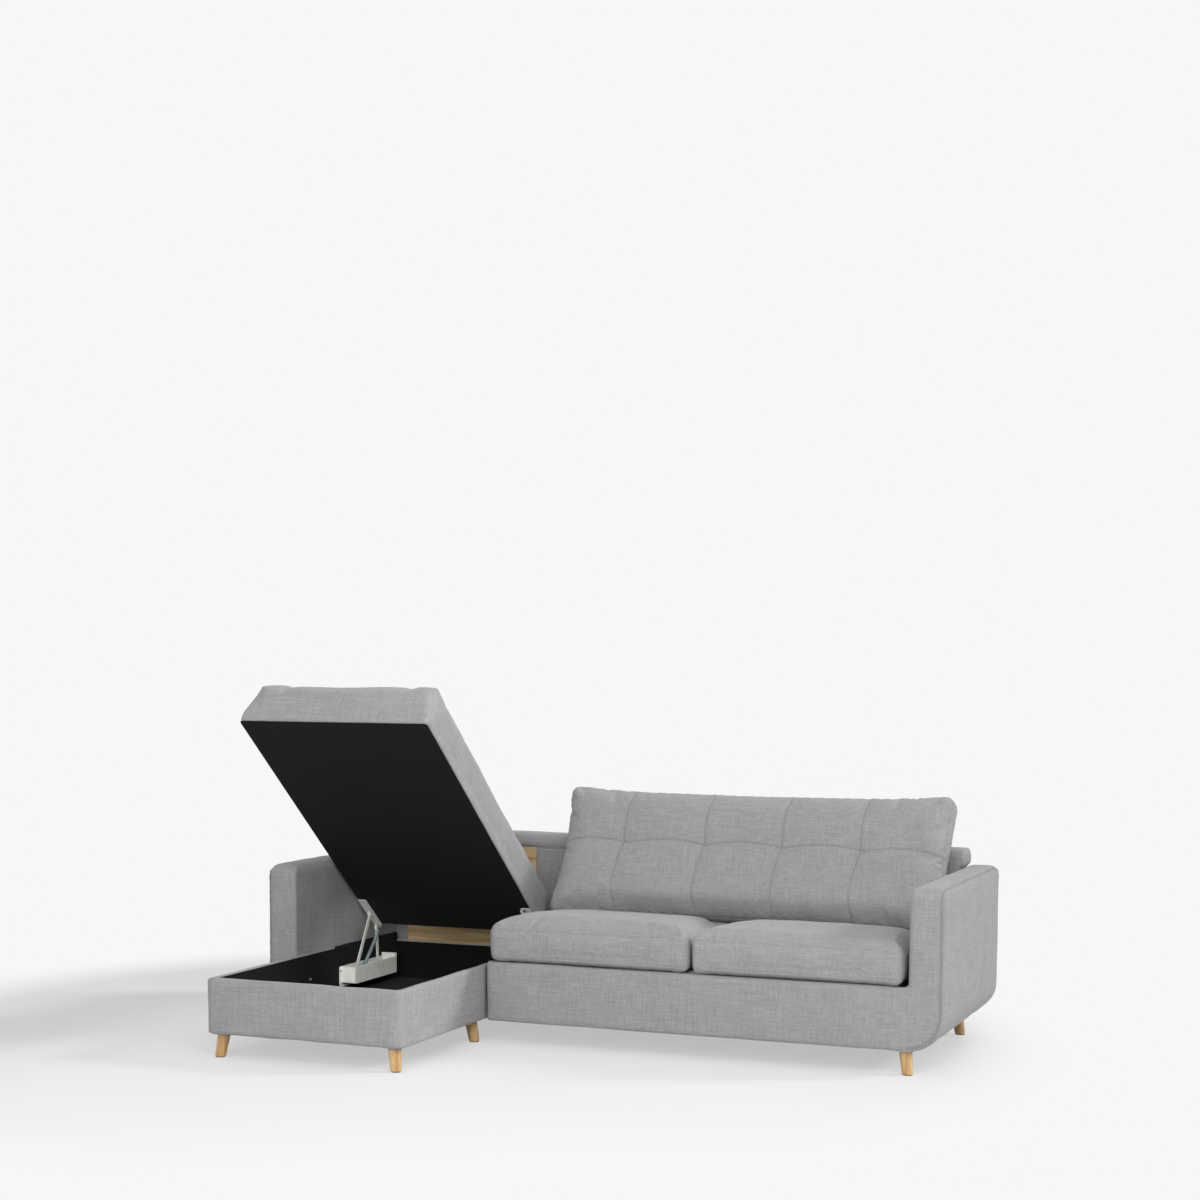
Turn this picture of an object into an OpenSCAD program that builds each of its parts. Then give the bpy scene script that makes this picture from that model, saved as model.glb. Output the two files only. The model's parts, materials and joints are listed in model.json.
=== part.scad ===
// Chaise sofa bed: storage chaise at the left, folding bed under the seat at the right.
// X to the viewer's right, Y to the back, Z up, origin on the floor under the middle of the whole.
// It is drawn as photographed: storage lid open, bed folded away, cushions in place.

/* [Overall] */
// Width over both arms
overall_w = 2458; // [2350:2:2600]
// Depth of the sofa from the front rail to the rear face of the back
sofa_d = 890; // [870:10:930]
// How far the chaise stands in front of the sofa's front rail
chaise_out = 606; // [500:10:700]
// Height of the feet
foot_h = 80; // [70:1:110]

/* [Arms] */
// Width of each arm
arm_w = 120; // [100:5:150]
// Height of the arm above the floor
arm_top = 608; // [560:5:660]
// Radius of the arm's rolled top edges
arm_edge_r = 34; // [15:1:40]
// How much lower the left arm is
left_arm_drop = 18; // [0:1:24]
// Radius of the left arm's outer and front top edges
left_edge_r = 48; // [20:1:52]
// Radius of the big outer corner at the bottom of the arm
arm_foot_r = 118; // [60:2:140]
// Radius of the arm's front edges
arm_front_r = 30; // [10:1:34]

/* [Front rail] */
// Height of the front rail's top above the floor
rail_top = 285; // [280:1:290]
// Thickness of the padded front rail
rail_t = 32; // [24:1:40]
// Radius of the rail's rounded left end
rail_end_r = 26; // [10:1:26]

/* [Back] */
// Height of the back's padded top
back_top = 668; // [640:2:740]
// Thickness of the padded back
back_t = 130; // [100:5:130]
// Radius of the back's rolled top edges
back_edge_r = 40; // [20:2:45]
// Height of the padded band over the bare board
back_band_h = 54; // [40:1:90]
// Depth of the pocket that leaves the board on the chaise side bare
board_pocket = 14; // [8:1:30]
// Width of the bare board
board_w = 544; // [400:4:600]
// Height of the bare board
board_h = 392; // [200:2:400]

/* [Chaise box] */
// Width of the storage box
box_w = 734; // [680:2:744]
// Thickness of its padded walls
wall_t = 30; // [22:1:40]
// Height of its rim above the floor
rim_z = 268; // [260:1:276]
// Radius of its upright front corners
box_corner_r = 42; // [20:2:60]
// Thickness of its floor board
floor_t = 9; // [6:1:15]
// Thickness of the black lining
lining_t = 1.5; // [1:0.5:3]
// Gap between the storage box and the left arm it is screwed to
box_gap = 0.3; // [0.2:0.1:2]
// Gap between the storage box and the bed well
well_gap = 8; // [4:1:12]

/* [Storage lid] */
// Inset of the closed lid's sides from the box's outer faces
lid_side_gap = 9; // [6:1:30]
// Gap between the closed lid and the sofa's back
lid_back_gap = 114; // [106:2:180]
// Thickness of the padded lid with its board
lid_t = 172; // [140:1:180]
// Thickness of the lid's board
lid_board_t = 15; // [12:1:18]
// Gap between the closed lid's lining and the rim
lid_rest_gap = 3.4; // [3.2:0.2:6]
// Angle at which the open lid stands
lid_tilt = 39.7; // [30:0.1:42]
// Radius of the lid's upright corners
lid_corner_r = 18; // [8:2:40]
// Rise of the lid pad's crown
lid_crown = 8; // [2:1:12]

/* [Lift mechanism] */
// Height of the fixed pivots above the box floor
lift_pivot_h = 84; // [78:1:88]
// Distance between the two fixed pivots
lift_base = 200; // [196:1:204]
// Distance of the turning centre of the lid behind the lid's rear edge
pole_back = 18; // [10:1:26]
// Height of the turning centre of the lid above the closed lid's underside
pole_up = 132; // [126:1:138]
// Distance of the front fixed pivot in front of the turning centre
pivot_ahead = 376; // [372:1:380]
// Distance of the front link's lid pivot from the turning centre
front_reach = 204; // [200:1:208]
// Distance of the rear link's lid pivot from the turning centre
rear_reach = 175; // [171:1:178]
// Thickness of the links
link_t = 4; // [3:0.5:5]
// Width of the links
link_w = 16; // [12:1:20]
// Width of the base channel
channel_w = 60; // [50:1:64]
// Height of the base channel
channel_h = 62; // [50:1:66]
// Sheet thickness of channel and brackets
sheet_t = 2.5; // [2:0.1:2.8]
// Diameter of the strut's tube
strut_d = 13; // [10:0.5:16]
// Diameter of the strut's rod
strut_rod_d = 7; // [5:0.5:9]
// Diameter of the pivot pins of lift and bed
pin_d = 8; // [6:0.5:10]
// Radial running clearance of every pin in its hole
pin_gap = 0.06; // [0.02:0.01:0.1]

/* [Seat cushions] */
// Thickness of a seat cushion at its edge
seat_t = 146; // [120:2:170]
// Rise of the seat cushion's crown
seat_crown = 12; // [6:1:20]
// Width of the gap between the seat cushions
seat_gap = 16; // [6:1:30]
// How far the seat cushions stand in front of the rail
seat_over = 8; // [0:1:16]
// Depth of the seat cushions
seat_d = 640; // [600:5:660]

/* [Back cushion] */
// Height of the back cushion along its face
back_cushion_h = 460; // [400:4:480]
// Thickness of the back cushion at its edge
back_cushion_t = 128; // [100:2:150]
// Rise of its crown
back_cushion_crown = 30; // [10:1:40]
// Lean of the back cushion
back_cushion_lean = 23; // [18:1:26]
// Depth of its sewn channels
channel_depth = 16; // [6:1:22]
// Number of sewn columns
sewn_cols = 5; // [3:1:6]

/* [Bed] */
// Space beside the bed for its swing arms
bed_side = 51; // [46:1:76]
// Space in front of and behind the folded bed
bed_end_room = 48; // [44:1:60]
// Thickness of one mattress block
mattress_t = 40; // [34:1:41]
// Height of the steel frame tubes
tube_h = 22; // [20:1:23]
// Width of the steel frame tubes
tube_w = 25; // [20:1:30]
// Thickness of the slats
slat_t = 6; // [5:0.5:7]
// Width of the slats
slat_w = 50; // [40:2:60]
// Number of slats in a section
slat_n = 6; // [5:1:7]
// Length of the swing arms between their pivots
swing_l = 190; // [184:1:196]
// Angle of the stored swing arms below the level
swing_low = 20; // [18:0.5:22]
// Thickness of the swing arms
swing_t = 6; // [5:0.5:8]
// Width of the swing arms
swing_w = 30; // [24:1:34]
// Diameter of the folding legs
bed_leg_d = 15; // [12:0.5:15.5]
// Thickness of the hinge plates
plate_t = 4; // [3:0.5:5]

/* [Feet] */
// Diameter of a foot at the floor
foot_d_low = 34; // [26:1:40]
// Diameter of a foot at its top
foot_d_high = 44; // [36:1:50]
// Splay of the feet from upright
foot_splay = 10; // [0:1:14]
// Inset of a foot's tread from the outer faces
foot_inset = 40; // [36:1:60]

/* [Hidden] */
$fn = 48;

// The sofa is drawn with Y = 0 at the front rail, then set over the origin
y_shift = (chaise_out - sofa_d) / 2;
half_w = overall_w / 2;
inner_x = half_w - arm_w;
// Clearance between soft or loosely laid pieces
rest_gap = 0.3;
hinge_gap = 0.5;

// Storage box, from the left arm to the bed well
box_x0 = -inner_x + box_gap;
box_x1 = box_x0 + box_w;
box_mid = (box_x0 + box_x1) / 2;
lid_w = box_w - 2 * lid_side_gap;
well_x0 = box_x1 + well_gap;
side_panel_t = 24;
bed_x0 = well_x0 + side_panel_t;
bed_x1 = inner_x;
back_y = sofa_d - back_t;
box_back_gap = 26;
box_back_y = back_y - box_back_gap;
board_wall_t = 18;
rear_wall_drop = 32;
rear_rail_t = 22;
rear_rail_h = 70;

// Lid and its four-bar lift, in the side plane, as [y, z]
lid_z = rim_z + lid_rest_gap;
lid_y0 = -chaise_out;
lid_y1 = back_y - lid_back_gap;
lid_l = lid_y1 - lid_y0;
pole = [lid_y1 + pole_back, lid_z + pole_up];
lift_z = foot_h + floor_t + lining_t + lift_pivot_h;
front_base = [pole[0] - pivot_ahead, lift_z];
rear_base = [pole[0] - pivot_ahead + lift_base, lift_z];
function bearing(p, q) = atan2(q[1] - p[1], q[0] - p[0]);
function span(p, q) = norm(q - p);
function turned(c, r, a) = c + r * [cos(a), sin(a)];
function around(c, p, a) = turned(c, span(c, p), bearing(c, p) + a);
front_eye = turned(pole, front_reach, bearing(pole, front_base) - lid_tilt / 2);
rear_eye = turned(pole, rear_reach, bearing(pole, rear_base) - lid_tilt / 2);
front_eye_shut = around(pole, front_eye, lid_tilt);
rear_eye_shut = around(pole, rear_eye, lid_tilt);
// The strut pulls on the rear link below its eye
strut_share = 0.88;
strut_base_ahead = 108;
strut_base = [front_base[0] + strut_base_ahead, lift_z];
strut_eye = rear_base + strut_share * (rear_eye - rear_base);
strut_open_l = span(strut_base, strut_eye);
strut_tube_l = strut_open_l - 26;
// The links are bent inside the channel
front_bend = [77, 16];
rear_bend = [35, 14];
front_knee = front_base + front_bend;
rear_knee = rear_base + rear_bend;

// Bed stack, from below
well_floor = foot_h + 2;
head_clear = 15;
head_z = well_floor + head_clear;
head_top = head_z + tube_h;
fold_z = head_top + 2 * rest_gap + mattress_t;
mid_low = fold_z + 2 * rest_gap + mattress_t;
turn_z = mid_low + tube_h + hinge_gap;
foot_low = turn_z + hinge_gap;
foot_top = foot_low + tube_h;
seat_z = foot_top + 2 * rest_gap + mattress_t;
bed_mid = (bed_x0 + bed_x1) / 2;
bed_lo = bed_x0 + bed_side;
bed_hi = bed_x1 - bed_side;
fold_y = rail_t + bed_end_room;
turn_y = back_y - rear_rail_t - bed_end_room;
section_l = turn_y - fold_y;
swing_end_z = head_z + tube_h / 2;
swing_base_z = swing_end_z + swing_l * sin(swing_low);
swing_run = swing_l * cos(swing_low);
front_swing_in = 220;
rear_swing_in = 100;
front_swing_y = fold_y + front_swing_in;
rear_swing_y = turn_y - rear_swing_in;
swing_open = 115;
bed_rise = swing_l * (sin(swing_open - swing_low) + sin(swing_low));
leg_axis = bed_leg_d / 2 + 0.3;
leg_l = head_z + bed_rise + leg_axis - 6;
leg_setback = 4 + tube_w + bed_leg_d / 2 + 2;

module placed() {
    translate([0, y_shift, 0]) children();
}

// Flat shapes

// Rectangle from lo to hi with radii at [low left, low right, high right, high left]
module soft_rect(lo, hi, r) {
    s = [[1, 1], [-1, 1], [-1, -1], [1, -1]];
    c = [lo, [hi[0], lo[1]], hi, [lo[0], hi[1]]];
    difference() {
        translate(lo) square(hi - lo);
        for (k = [0:3])
            if (r[k] > 0) {
                corner = c[k] + r[k] * s[k];
                difference() {
                    translate([min(c[k][0] - s[k][0], corner[0]), min(c[k][1] - s[k][1], corner[1])])
                        square(r[k] + 1);
                    translate(corner) circle(r[k]);
                }
            }
    }
}

// Slabs cut from such a shape, standing along each axis
module slab_z(z0, z1) {
    translate([0, 0, z0]) linear_extrude(z1 - z0) children();
}
module slab_y(y0, y1) {
    translate([0, y1, 0]) rotate([90, 0, 0]) linear_extrude(y1 - y0) children();
}
module slab_x(x0, x1) {
    translate([x0, 0, 0]) rotate([90, 0, 90]) linear_extrude(x1 - x0) children();
}
module block(lo, hi) {
    translate(lo) cube(hi - lo);
}
module rod_x(x0, x1, p, d) {
    translate([x0, p[0], p[1]]) rotate([0, 90, 0]) cylinder(h = x1 - x0, d = d);
}

// Flat bar in the side plane between two eyes, from x0 to x1
module bar(x0, x1, p, q, w, hole_d) {
    waist = w - 1;
    translate([0, p[0], p[1]]) rotate([bearing(p, q), 0, 0]) slab_x(x0, x1) difference() {
        union() {
            circle(d = w);
            translate([span(p, q), 0]) circle(d = w);
            translate([0, -waist / 2]) square([span(p, q), waist]);
        }
        circle(d = hole_d);
        translate([span(p, q), 0]) circle(d = hole_d);
    }
}

// The same with a bend at k
module bent_bar(x0, x1, p, k, q, w, hole_d) {
    slab_x(x0, x1) difference() {
        union() {
            for (e = [p, k, q]) translate(e) circle(d = w);
            for (e = [[p, k], [k, q]])
                translate(e[0]) rotate(bearing(e[0], e[1])) translate([0, (1 - w) / 2])
                    square([span(e[0], e[1]), w - 1]);
        }
        translate(p) circle(d = hole_d);
        translate(q) circle(d = hole_d);
    }
}

// Soft forms

function near(x, c, s) = exp(-pow((x - c) / s, 2));
function most(v, k = 0) = k == len(v) ? 0 : max(v[k], most(v, k + 1));
// Height of a cushion's face above its edge at u, v in -1..1
function face_rise(u, v, crown, groove, cols, row) =
    crown * (1 - pow(u, 4)) * (1 - pow(v, 4)) - 10 * (pow(u, 12) + pow(v, 12)) * (crown > 0 ? 1 : 0)
    - groove * (1 - pow(v, 8)) * (1 - pow(u, 10))
        * most(concat([for (k = cols) near(u, k, 0.055)], [for (k = row) near(v, k, 0.11)]));
// Plan of the cushion: sides drawn in between the corners, corners eased
function plan_x(u, v, w, draw, ease) = u * (w / 2 - draw * (1 - v * v) - ease * pow(v, 10));
function edge_loop(nu, nv) = concat(
    [for (i = [0:nu - 1]) i],
    [for (j = [0:nv - 1]) nu + j * (nu + 1)],
    [for (i = [nu:-1:1]) i + nv * (nu + 1)],
    [for (j = [nv:-1:1]) j * (nu + 1)]);

// Crowned closed cushion, centred on X and Y, its edge from z = 0 to t
module cushion(size, crown, under, draw, puff, ease, nu, nv, groove = 0, cols = [], row = []) {
    w = size[0];
    d = size[1];
    t = size[2];
    uv = [for (j = [0:nv]) for (i = [0:nu]) [2 * i / nu - 1, 2 * j / nv - 1]];
    plan = [for (p = uv) [plan_x(p[0], p[1], w, draw, ease), plan_x(p[1], p[0], d, draw, ease)]];
    top = [for (k = [0:len(uv) - 1])
        [plan[k][0], plan[k][1], t + face_rise(uv[k][0], uv[k][1], crown, groove, cols, row)]];
    low = [for (k = [0:len(uv) - 1])
        [plan[k][0], plan[k][1], -face_rise(uv[k][0], uv[k][1], under, 0, [], [])]];
    loop = edge_loop(nu, nv);
    m = len(loop);
    n = len(uv);
    belt = [for (k = loop) [plan[k][0] * (1 + 2 * puff / w), plan[k][1] * (1 + 2 * puff / d), t / 2]];
    cells = [for (j = [0:nv - 1]) for (i = [0:nu - 1]) i + j * (nu + 1)];
    polyhedron(concat(top, low, belt), concat(
        [for (a = cells) each [[a, a + nu + 1, a + nu + 2], [a, a + nu + 2, a + 1]]],
        [for (a = cells) each [[n + a, n + a + nu + 2, n + a + nu + 1], [n + a, n + a + 1, n + a + nu + 2]]],
        [for (k = [0:m - 1]) let (q = (k + 1) % m)
            each [[loop[k], loop[q], 2 * n + q], [loop[k], 2 * n + q, 2 * n + k]]],
        [for (k = [0:m - 1]) let (q = (k + 1) % m)
            each [[2 * n + k, 2 * n + q, n + loop[q]], [2 * n + k, n + loop[q], n + loop[k]]]]));
}

// Arms, rail and back

// Arm seen from the front with its big outer corner, side = 1 at the right
module arm_front(side, top, r) {
    mirror([side > 0 ? 0 : 1, 0])
        soft_rect([inner_x, foot_h], [half_w, top], [0, arm_foot_r, r, arm_edge_r]);
}
module arm(side) {
    x0 = side > 0 ? inner_x : -half_w;
    top = side > 0 ? arm_top : arm_top - left_arm_drop;
    r = side > 0 ? arm_edge_r : left_edge_r;
    r_in = arm_front_r;
    intersection() {
        slab_y(0, sofa_d) arm_front(side, top, r);
        slab_x(x0, x0 + arm_w) soft_rect([0, foot_h], [sofa_d, top], [0, 0, arm_edge_r, r]);
        slab_z(0, top) soft_rect([x0, 0], [x0 + arm_w, sofa_d],
            side > 0 ? [0, r_in, r_in, 0] : [r_in, 0, 0, r_in]);
        if (side > 0)
            union() {
                slab_z(0, rail_top) square([half_w, sofa_d]);
                slab_z(rail_top - 1, arm_top)
                    soft_rect([x0, 0], [x0 + arm_w, sofa_d], [r_in, 0, 0, 0]);
            }
    }
}
module left_arm() color("#9b9b9b") placed() arm(-1);
module right_arm() color("#9b9b9b") placed() arm(1);

module front_rail() color("#a2a2a2") placed() intersection() {
    slab_x(well_x0, inner_x) soft_rect([0, foot_h], [rail_t, rail_top], [10, 0, 0, 10]);
    slab_z(foot_h, rail_top) soft_rect([well_x0, 0], [inner_x, rail_t], [rail_end_r, 0, 0, 0]);
}

board_shift = 36;
back_over = 18;
board_x0 = box_mid - board_shift - board_w / 2;
board_z1 = back_top - back_band_h;
// Its padded top reaches a little over the right arm
module back_frame() color("#969696") placed() difference() {
    union() {
        slab_x(-inner_x, inner_x)
            soft_rect([back_y, foot_h], [sofa_d, back_top], [0, 0, back_edge_r, back_edge_r]);
        slab_x(-inner_x, inner_x + back_over) soft_rect(
            [back_y, arm_top + rest_gap], [sofa_d, back_top], [0, 0, back_edge_r, back_edge_r]);
    }
    block([board_x0, back_y - 1, board_z1 - board_h],
        [board_x0 + board_w, back_y + board_pocket, board_z1]);
}
module back_board() color("#cdb48b") placed()
    block([board_x0 + rest_gap, back_y + 2, board_z1 - board_h + rest_gap],
        [board_x0 + board_w - rest_gap, back_y + board_pocket, board_z1 - rest_gap]);

module side_panel() color("#8f7a58") placed()
    block([well_x0, rail_t, foot_h], [bed_x0, back_y, rail_top - 3]);
module rear_rail() color("#8f7a58") placed()
    block([bed_x0, back_y - rear_rail_t, well_floor], [inner_x, back_y, well_floor + rear_rail_h]);
module sofa_dust_cover() color("#1c1c1c") placed()
    block([bed_x0, rail_t, foot_h], [inner_x, back_y, foot_h + 1.5]);

// Chaise box

module box_plan(inset, y1) {
    r = box_corner_r - inset;
    soft_rect([box_x0 + inset, -chaise_out + inset], [box_x1 - inset, y1], [r, r, 0, 0]);
}
module chaise_shell() color("#a0a0a0") placed() difference() {
    intersection() {
        slab_z(foot_h, rim_z) box_plan(0, box_back_y);
        slab_x(box_x0, box_x1)
            soft_rect([-chaise_out, foot_h], [box_back_y, rim_z], [12, 0, 0, 8]);
    }
    slab_z(foot_h - 1, rim_z + 1) box_plan(wall_t, box_back_y - board_wall_t);
    block([box_x0 + wall_t, box_back_y - board_wall_t - 1, rim_z - rear_wall_drop],
        [box_x1 - wall_t, box_back_y + 1, rim_z + 1]);
}
// The lining stands off the wall by a hair and leaves the mechanism's plates their place
module chaise_lining() color("#111111") placed() difference() {
    slab_z(foot_h + floor_t, rim_z - 6) box_plan(wall_t + rest_gap, box_back_y - board_wall_t - rest_gap);
    slab_z(foot_h + floor_t + lining_t, rim_z + 1)
        box_plan(wall_t + rest_gap + lining_t, box_back_y - board_wall_t - rest_gap - lining_t);
    block([box_x0 + wall_t + rest_gap + lining_t, box_back_y - 2 * board_wall_t, rim_z - rear_wall_drop - 4],
        [box_x1 - wall_t - rest_gap - lining_t, box_back_y, rim_z]);
}
module chaise_floor() color("#2a2622") placed()
    slab_z(foot_h, foot_h + floor_t - rest_gap)
        box_plan(wall_t + rest_gap, box_back_y - board_wall_t - rest_gap);
wall_in = box_x0 + wall_t + rest_gap + lining_t;
stud_y = 43;
stud_up = 94;
module wall_stud() color("#b5b5b5") placed()
    rod_x(wall_in, wall_in + 5, [stud_y, foot_h + stud_up], 9);

// Feet

foot_plate_t = 3;
foot_plate_w = 58;
foot_screw_r = 33;
plate_slack = 0.1;
// The foot leans out from its top, and its tread is cut level
module foot(x, y, out_x, out_y) {
    over = 8;
    intersection() {
        translate([x, y, 0]) rotate(a = foot_splay, v = [out_y, -out_x, 0]) translate([0, 0, -over])
            cylinder(h = foot_h + 2 * over, d1 = foot_d_low, d2 = foot_d_high);
        translate([x - foot_h, y - foot_h, 0]) cube([2 * foot_h, 2 * foot_h, foot_h - foot_plate_t]);
    }
}
FEET = [
    [box_x0 + foot_inset, -chaise_out + foot_inset, -1, -1],
    [box_x1 - foot_inset, -chaise_out + foot_inset, 1, -1],
    [box_x0 + foot_inset, 20, -1, 1],
    [box_x1 - foot_inset, 20, 1, 1],
    [inner_x - 2, foot_inset, 1, -1],
    [inner_x - 2, sofa_d - foot_inset - 10, 1, 1],
    [box_x1 - foot_inset, sofa_d - foot_inset - 10, -1, 1],
    [-inner_x + 2, sofa_d - foot_inset - 10, -1, 1]];
module foot_at(k) color("#c29a63") placed() foot(FEET[k][0], FEET[k][1], FEET[k][2], FEET[k][3]);
module foot_plates() color("#7d7d80") placed() {
    shift = tan(foot_splay) * foot_h / sqrt(2);
    for (f = FEET)
        translate([f[0] - f[2] * shift, f[1] - f[3] * shift, foot_h - foot_plate_t + plate_slack])
            linear_extrude(foot_plate_t - 2 * plate_slack) difference() {
                square(foot_plate_w, center = true);
                for (a = [45:90:315]) rotate(a) translate([foot_screw_r, 0]) circle(d = 5);
            }
}

// Lift mechanism: side = -1 at the left wall, 1 at the right wall

lift_face = box_mid - box_x0 - wall_t - rest_gap - lining_t;
// X of a layer that lies depth inside the box wall
function layer(side, depth) = box_mid + side * (lift_face - depth);
module layer_slab(side, d0, d1) {
    slab_x(min(layer(side, d0), layer(side, d1)), max(layer(side, d0), layer(side, d1))) children();
}
module layer_rod(side, d0, d1, p, d) {
    rod_x(min(layer(side, d0), layer(side, d1)), max(layer(side, d0), layer(side, d1)), p, d);
}
link_depth = 17;
bracket_depth = link_depth - rest_gap - sheet_t;
channel_front = 18;
channel_rear = 112;
channel_y0 = front_base[0] - channel_front;
channel_y1 = rear_base[0] + channel_rear;
channel_z0 = lift_z - 46;
plate_edge = 12;
plate_low = 14;
tab_l = 10;
tab_h = 12;
module lift_channel(side) {
    difference() {
        union() {
            layer_slab(side, rest_gap, sheet_t) soft_rect(
                [channel_y0 - plate_edge, channel_z0 - plate_low],
                [channel_y1 + plate_edge, channel_z0 + channel_h], [12, 12, 4, 4]);
            layer_slab(side, rest_gap, channel_w) soft_rect([channel_y0, channel_z0],
                [channel_y1, channel_z0 + channel_h], [6, 6, 0, 0]);
            layer_slab(side, rest_gap, channel_w) translate([channel_y1 - tab_l, channel_z0])
                square([tab_l, channel_h + tab_h]);
        }
        layer_slab(side, sheet_t, channel_w - sheet_t)
            translate([channel_y0 + sheet_t, channel_z0 + sheet_t])
                square([channel_y1 - channel_y0 - 2 * sheet_t, channel_h + 2 * tab_h]);
        for (p = [front_base, rear_base])
            layer_rod(side, rest_gap - 1, channel_w + 1, p, pin_d);
        layer_rod(side, strut_depth, channel_w + 1, strut_base, pin_d);
        for (y = [channel_y0 - 5, channel_y1 + 5])
            layer_rod(side, rest_gap - 1, channel_w + 1, [y, lift_z], 5);
    }
}
module lift_channel_left() color("#cfcfca") placed() lift_channel(-1);
module lift_channel_right() color("#cfcfca") placed() lift_channel(1);
module lift_screws() color("#8a8a8c") placed()
    for (side = [-1, 1])
        for (y = [channel_y0 - 5, channel_y1 + 5]) {
            layer_rod(side, rest_gap, sheet_t, [y, lift_z], 5 - 2 * pin_gap);
            layer_rod(side, sheet_t + 0.05, sheet_t + 2.4, [y, lift_z], 9);
        }
module lift_base_pins() color("#b9b9bb") placed()
    for (side = [-1, 1]) {
        for (p = [front_base, rear_base])
            layer_rod(side, rest_gap, channel_w + 2, p, pin_d - 2 * pin_gap);
        // The strut's pin stops short of the links
        layer_rod(side, strut_depth - 5, channel_w + 2, strut_base, pin_d - 2 * pin_gap);
        for (p = [front_base, rear_base, strut_base])
            layer_rod(side, channel_w + 0.05, channel_w + 2, p, pin_d + 3);
    }
module front_links() color("#c9c9c5") placed()
    for (side = [-1, 1]) {
        bent_bar(min(layer(side, link_depth), layer(side, link_depth + link_t)),
            max(layer(side, link_depth), layer(side, link_depth + link_t)),
            front_base, front_knee, front_eye, link_w, pin_d);
    }
module rear_links() color("#c9c9c5") placed()
    for (side = [-1, 1])
        bent_bar(min(layer(side, link_depth), layer(side, link_depth + link_t)),
            max(layer(side, link_depth), layer(side, link_depth + link_t)),
            rear_base, rear_knee, rear_eye, link_w, pin_d);
strut_depth = link_depth + link_t + rest_gap + strut_d / 2;
// Length of the strut's rod inside its tube
rod_inside = 92;
strut_bearing = bearing(strut_base, strut_eye);
module along_strut(side, from) {
    translate([layer(side, strut_depth), strut_base[0], strut_base[1]])
        rotate([strut_bearing, 0, 0]) rotate([-90, 0, 0]) translate([0, 0, from]) children();
}
module strut_tubes() color("#a9adb0") placed()
    for (side = [-1, 1]) {
        difference() {
            union() {
                along_strut(side, 8) cylinder(h = strut_tube_l - 8, d = strut_d);
                layer_rod(side, strut_depth - 4, strut_depth + 4, strut_base, link_w);
            }
            layer_rod(side, strut_depth - 9, strut_depth + 9, strut_base, pin_d);
            along_strut(side, 14) cylinder(h = strut_tube_l, d = strut_rod_d + 2 * pin_gap);
        }
    }
module strut_rods() color("#d6d8d9") placed()
    for (side = [-1, 1]) {
        difference() {
            union() {
                along_strut(side, strut_tube_l - rod_inside)
                    cylinder(h = strut_open_l - strut_tube_l + rod_inside - 4, d = strut_rod_d);
                layer_rod(side, strut_depth - 4, strut_depth + 4, strut_eye, link_w - 2);
            }
            layer_rod(side, strut_depth - 9, strut_depth + 9, strut_eye, pin_d - 2);
        }
    }

// Storage lid, drawn shut and turned open about its pole

module opened() {
    translate([0, pole[0], pole[1]]) rotate([-lid_tilt, 0, 0]) translate([0, -pole[0], -pole[1]])
        children();
}
module lid_plan(inset) {
    soft_rect([box_mid - lid_w / 2 + inset, lid_y0 + inset], [box_mid + lid_w / 2 - inset, lid_y1 - inset],
        [1, 1, 1, 1] * (lid_corner_r - inset));
}
module lid_board() color("#6f6f6f") placed() opened()
    slab_z(lid_z + lining_t, lid_z + lining_t + lid_board_t) lid_plan(3);
lid_lining_in = 7;
module lid_lining() color("#0d0d0d") placed() opened()
    slab_z(lid_z, lid_z + lining_t - 0.1) lid_plan(lid_lining_in);
pad_z = lid_z + lining_t + lid_board_t + rest_gap;
pad_t = lid_t - lining_t - lid_board_t - rest_gap - lid_crown;
module lid_pad() color("#a4a4a4") placed() opened()
    translate([box_mid, (lid_y0 + lid_y1) / 2, pad_z])
        cushion([lid_w - 8, lid_l - 8, pad_t], lid_crown, 0, 0, 3, 16, 14, 24);
bracket_up = lid_z - rest_gap;
bracket_flange = 34;
bracket_l = 165;
bracket_strip = 16;
bracket_ear = 22;
bracket_y1 = lid_y1 - 4;
bracket_y0 = bracket_y1 - bracket_l;
bracket_screws = [bracket_y0 + 14, bracket_y1 - 14];
bracket_screw_depth = 7;
// Strip with an ear for each link, its flange turned out over the box's wall
module lid_bracket(side) {
    difference() {
        union() {
            layer_slab(side, bracket_depth, bracket_depth + sheet_t) {
                translate([bracket_y0, bracket_up - bracket_strip]) square([bracket_l, bracket_strip]);
                for (p = [front_eye_shut, rear_eye_shut]) {
                    translate(p) circle(d = bracket_ear);
                    translate([p[0] - bracket_ear / 2 + 0.5, p[1]])
                        square([bracket_ear - 1, bracket_up - p[1] - 1]);
                }
            }
            layer_slab(side, bracket_depth + sheet_t - bracket_flange, bracket_depth + sheet_t)
                translate([bracket_y0, bracket_up - sheet_t]) square([bracket_l, sheet_t]);
        }
        for (y = bracket_screws)
            translate([layer(side, bracket_screw_depth), y, bracket_up - 10]) cylinder(h = 20, d = 5);
    }
    layer_rod(side, bracket_depth + 0.5, link_depth + link_t + 1.5, front_eye_shut, pin_d - 2 * pin_gap);
}
module lid_bracket_left() color("#cfcfca") placed() opened() lid_bracket(-1);
module lid_bracket_right() color("#cfcfca") placed() opened() lid_bracket(1);
module lid_screws() color("#8a8a8c") placed() opened()
    for (side = [-1, 1])
        for (y = bracket_screws)
            translate([layer(side, bracket_screw_depth), y, 0]) {
                translate([0, 0, bracket_up - sheet_t]) cylinder(h = sheet_t, d = 5 - 2 * pin_gap);
                translate([0, 0, bracket_up - sheet_t - 2.2]) cylinder(h = 2.15, d = 9);
            }

// Cushions

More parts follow.
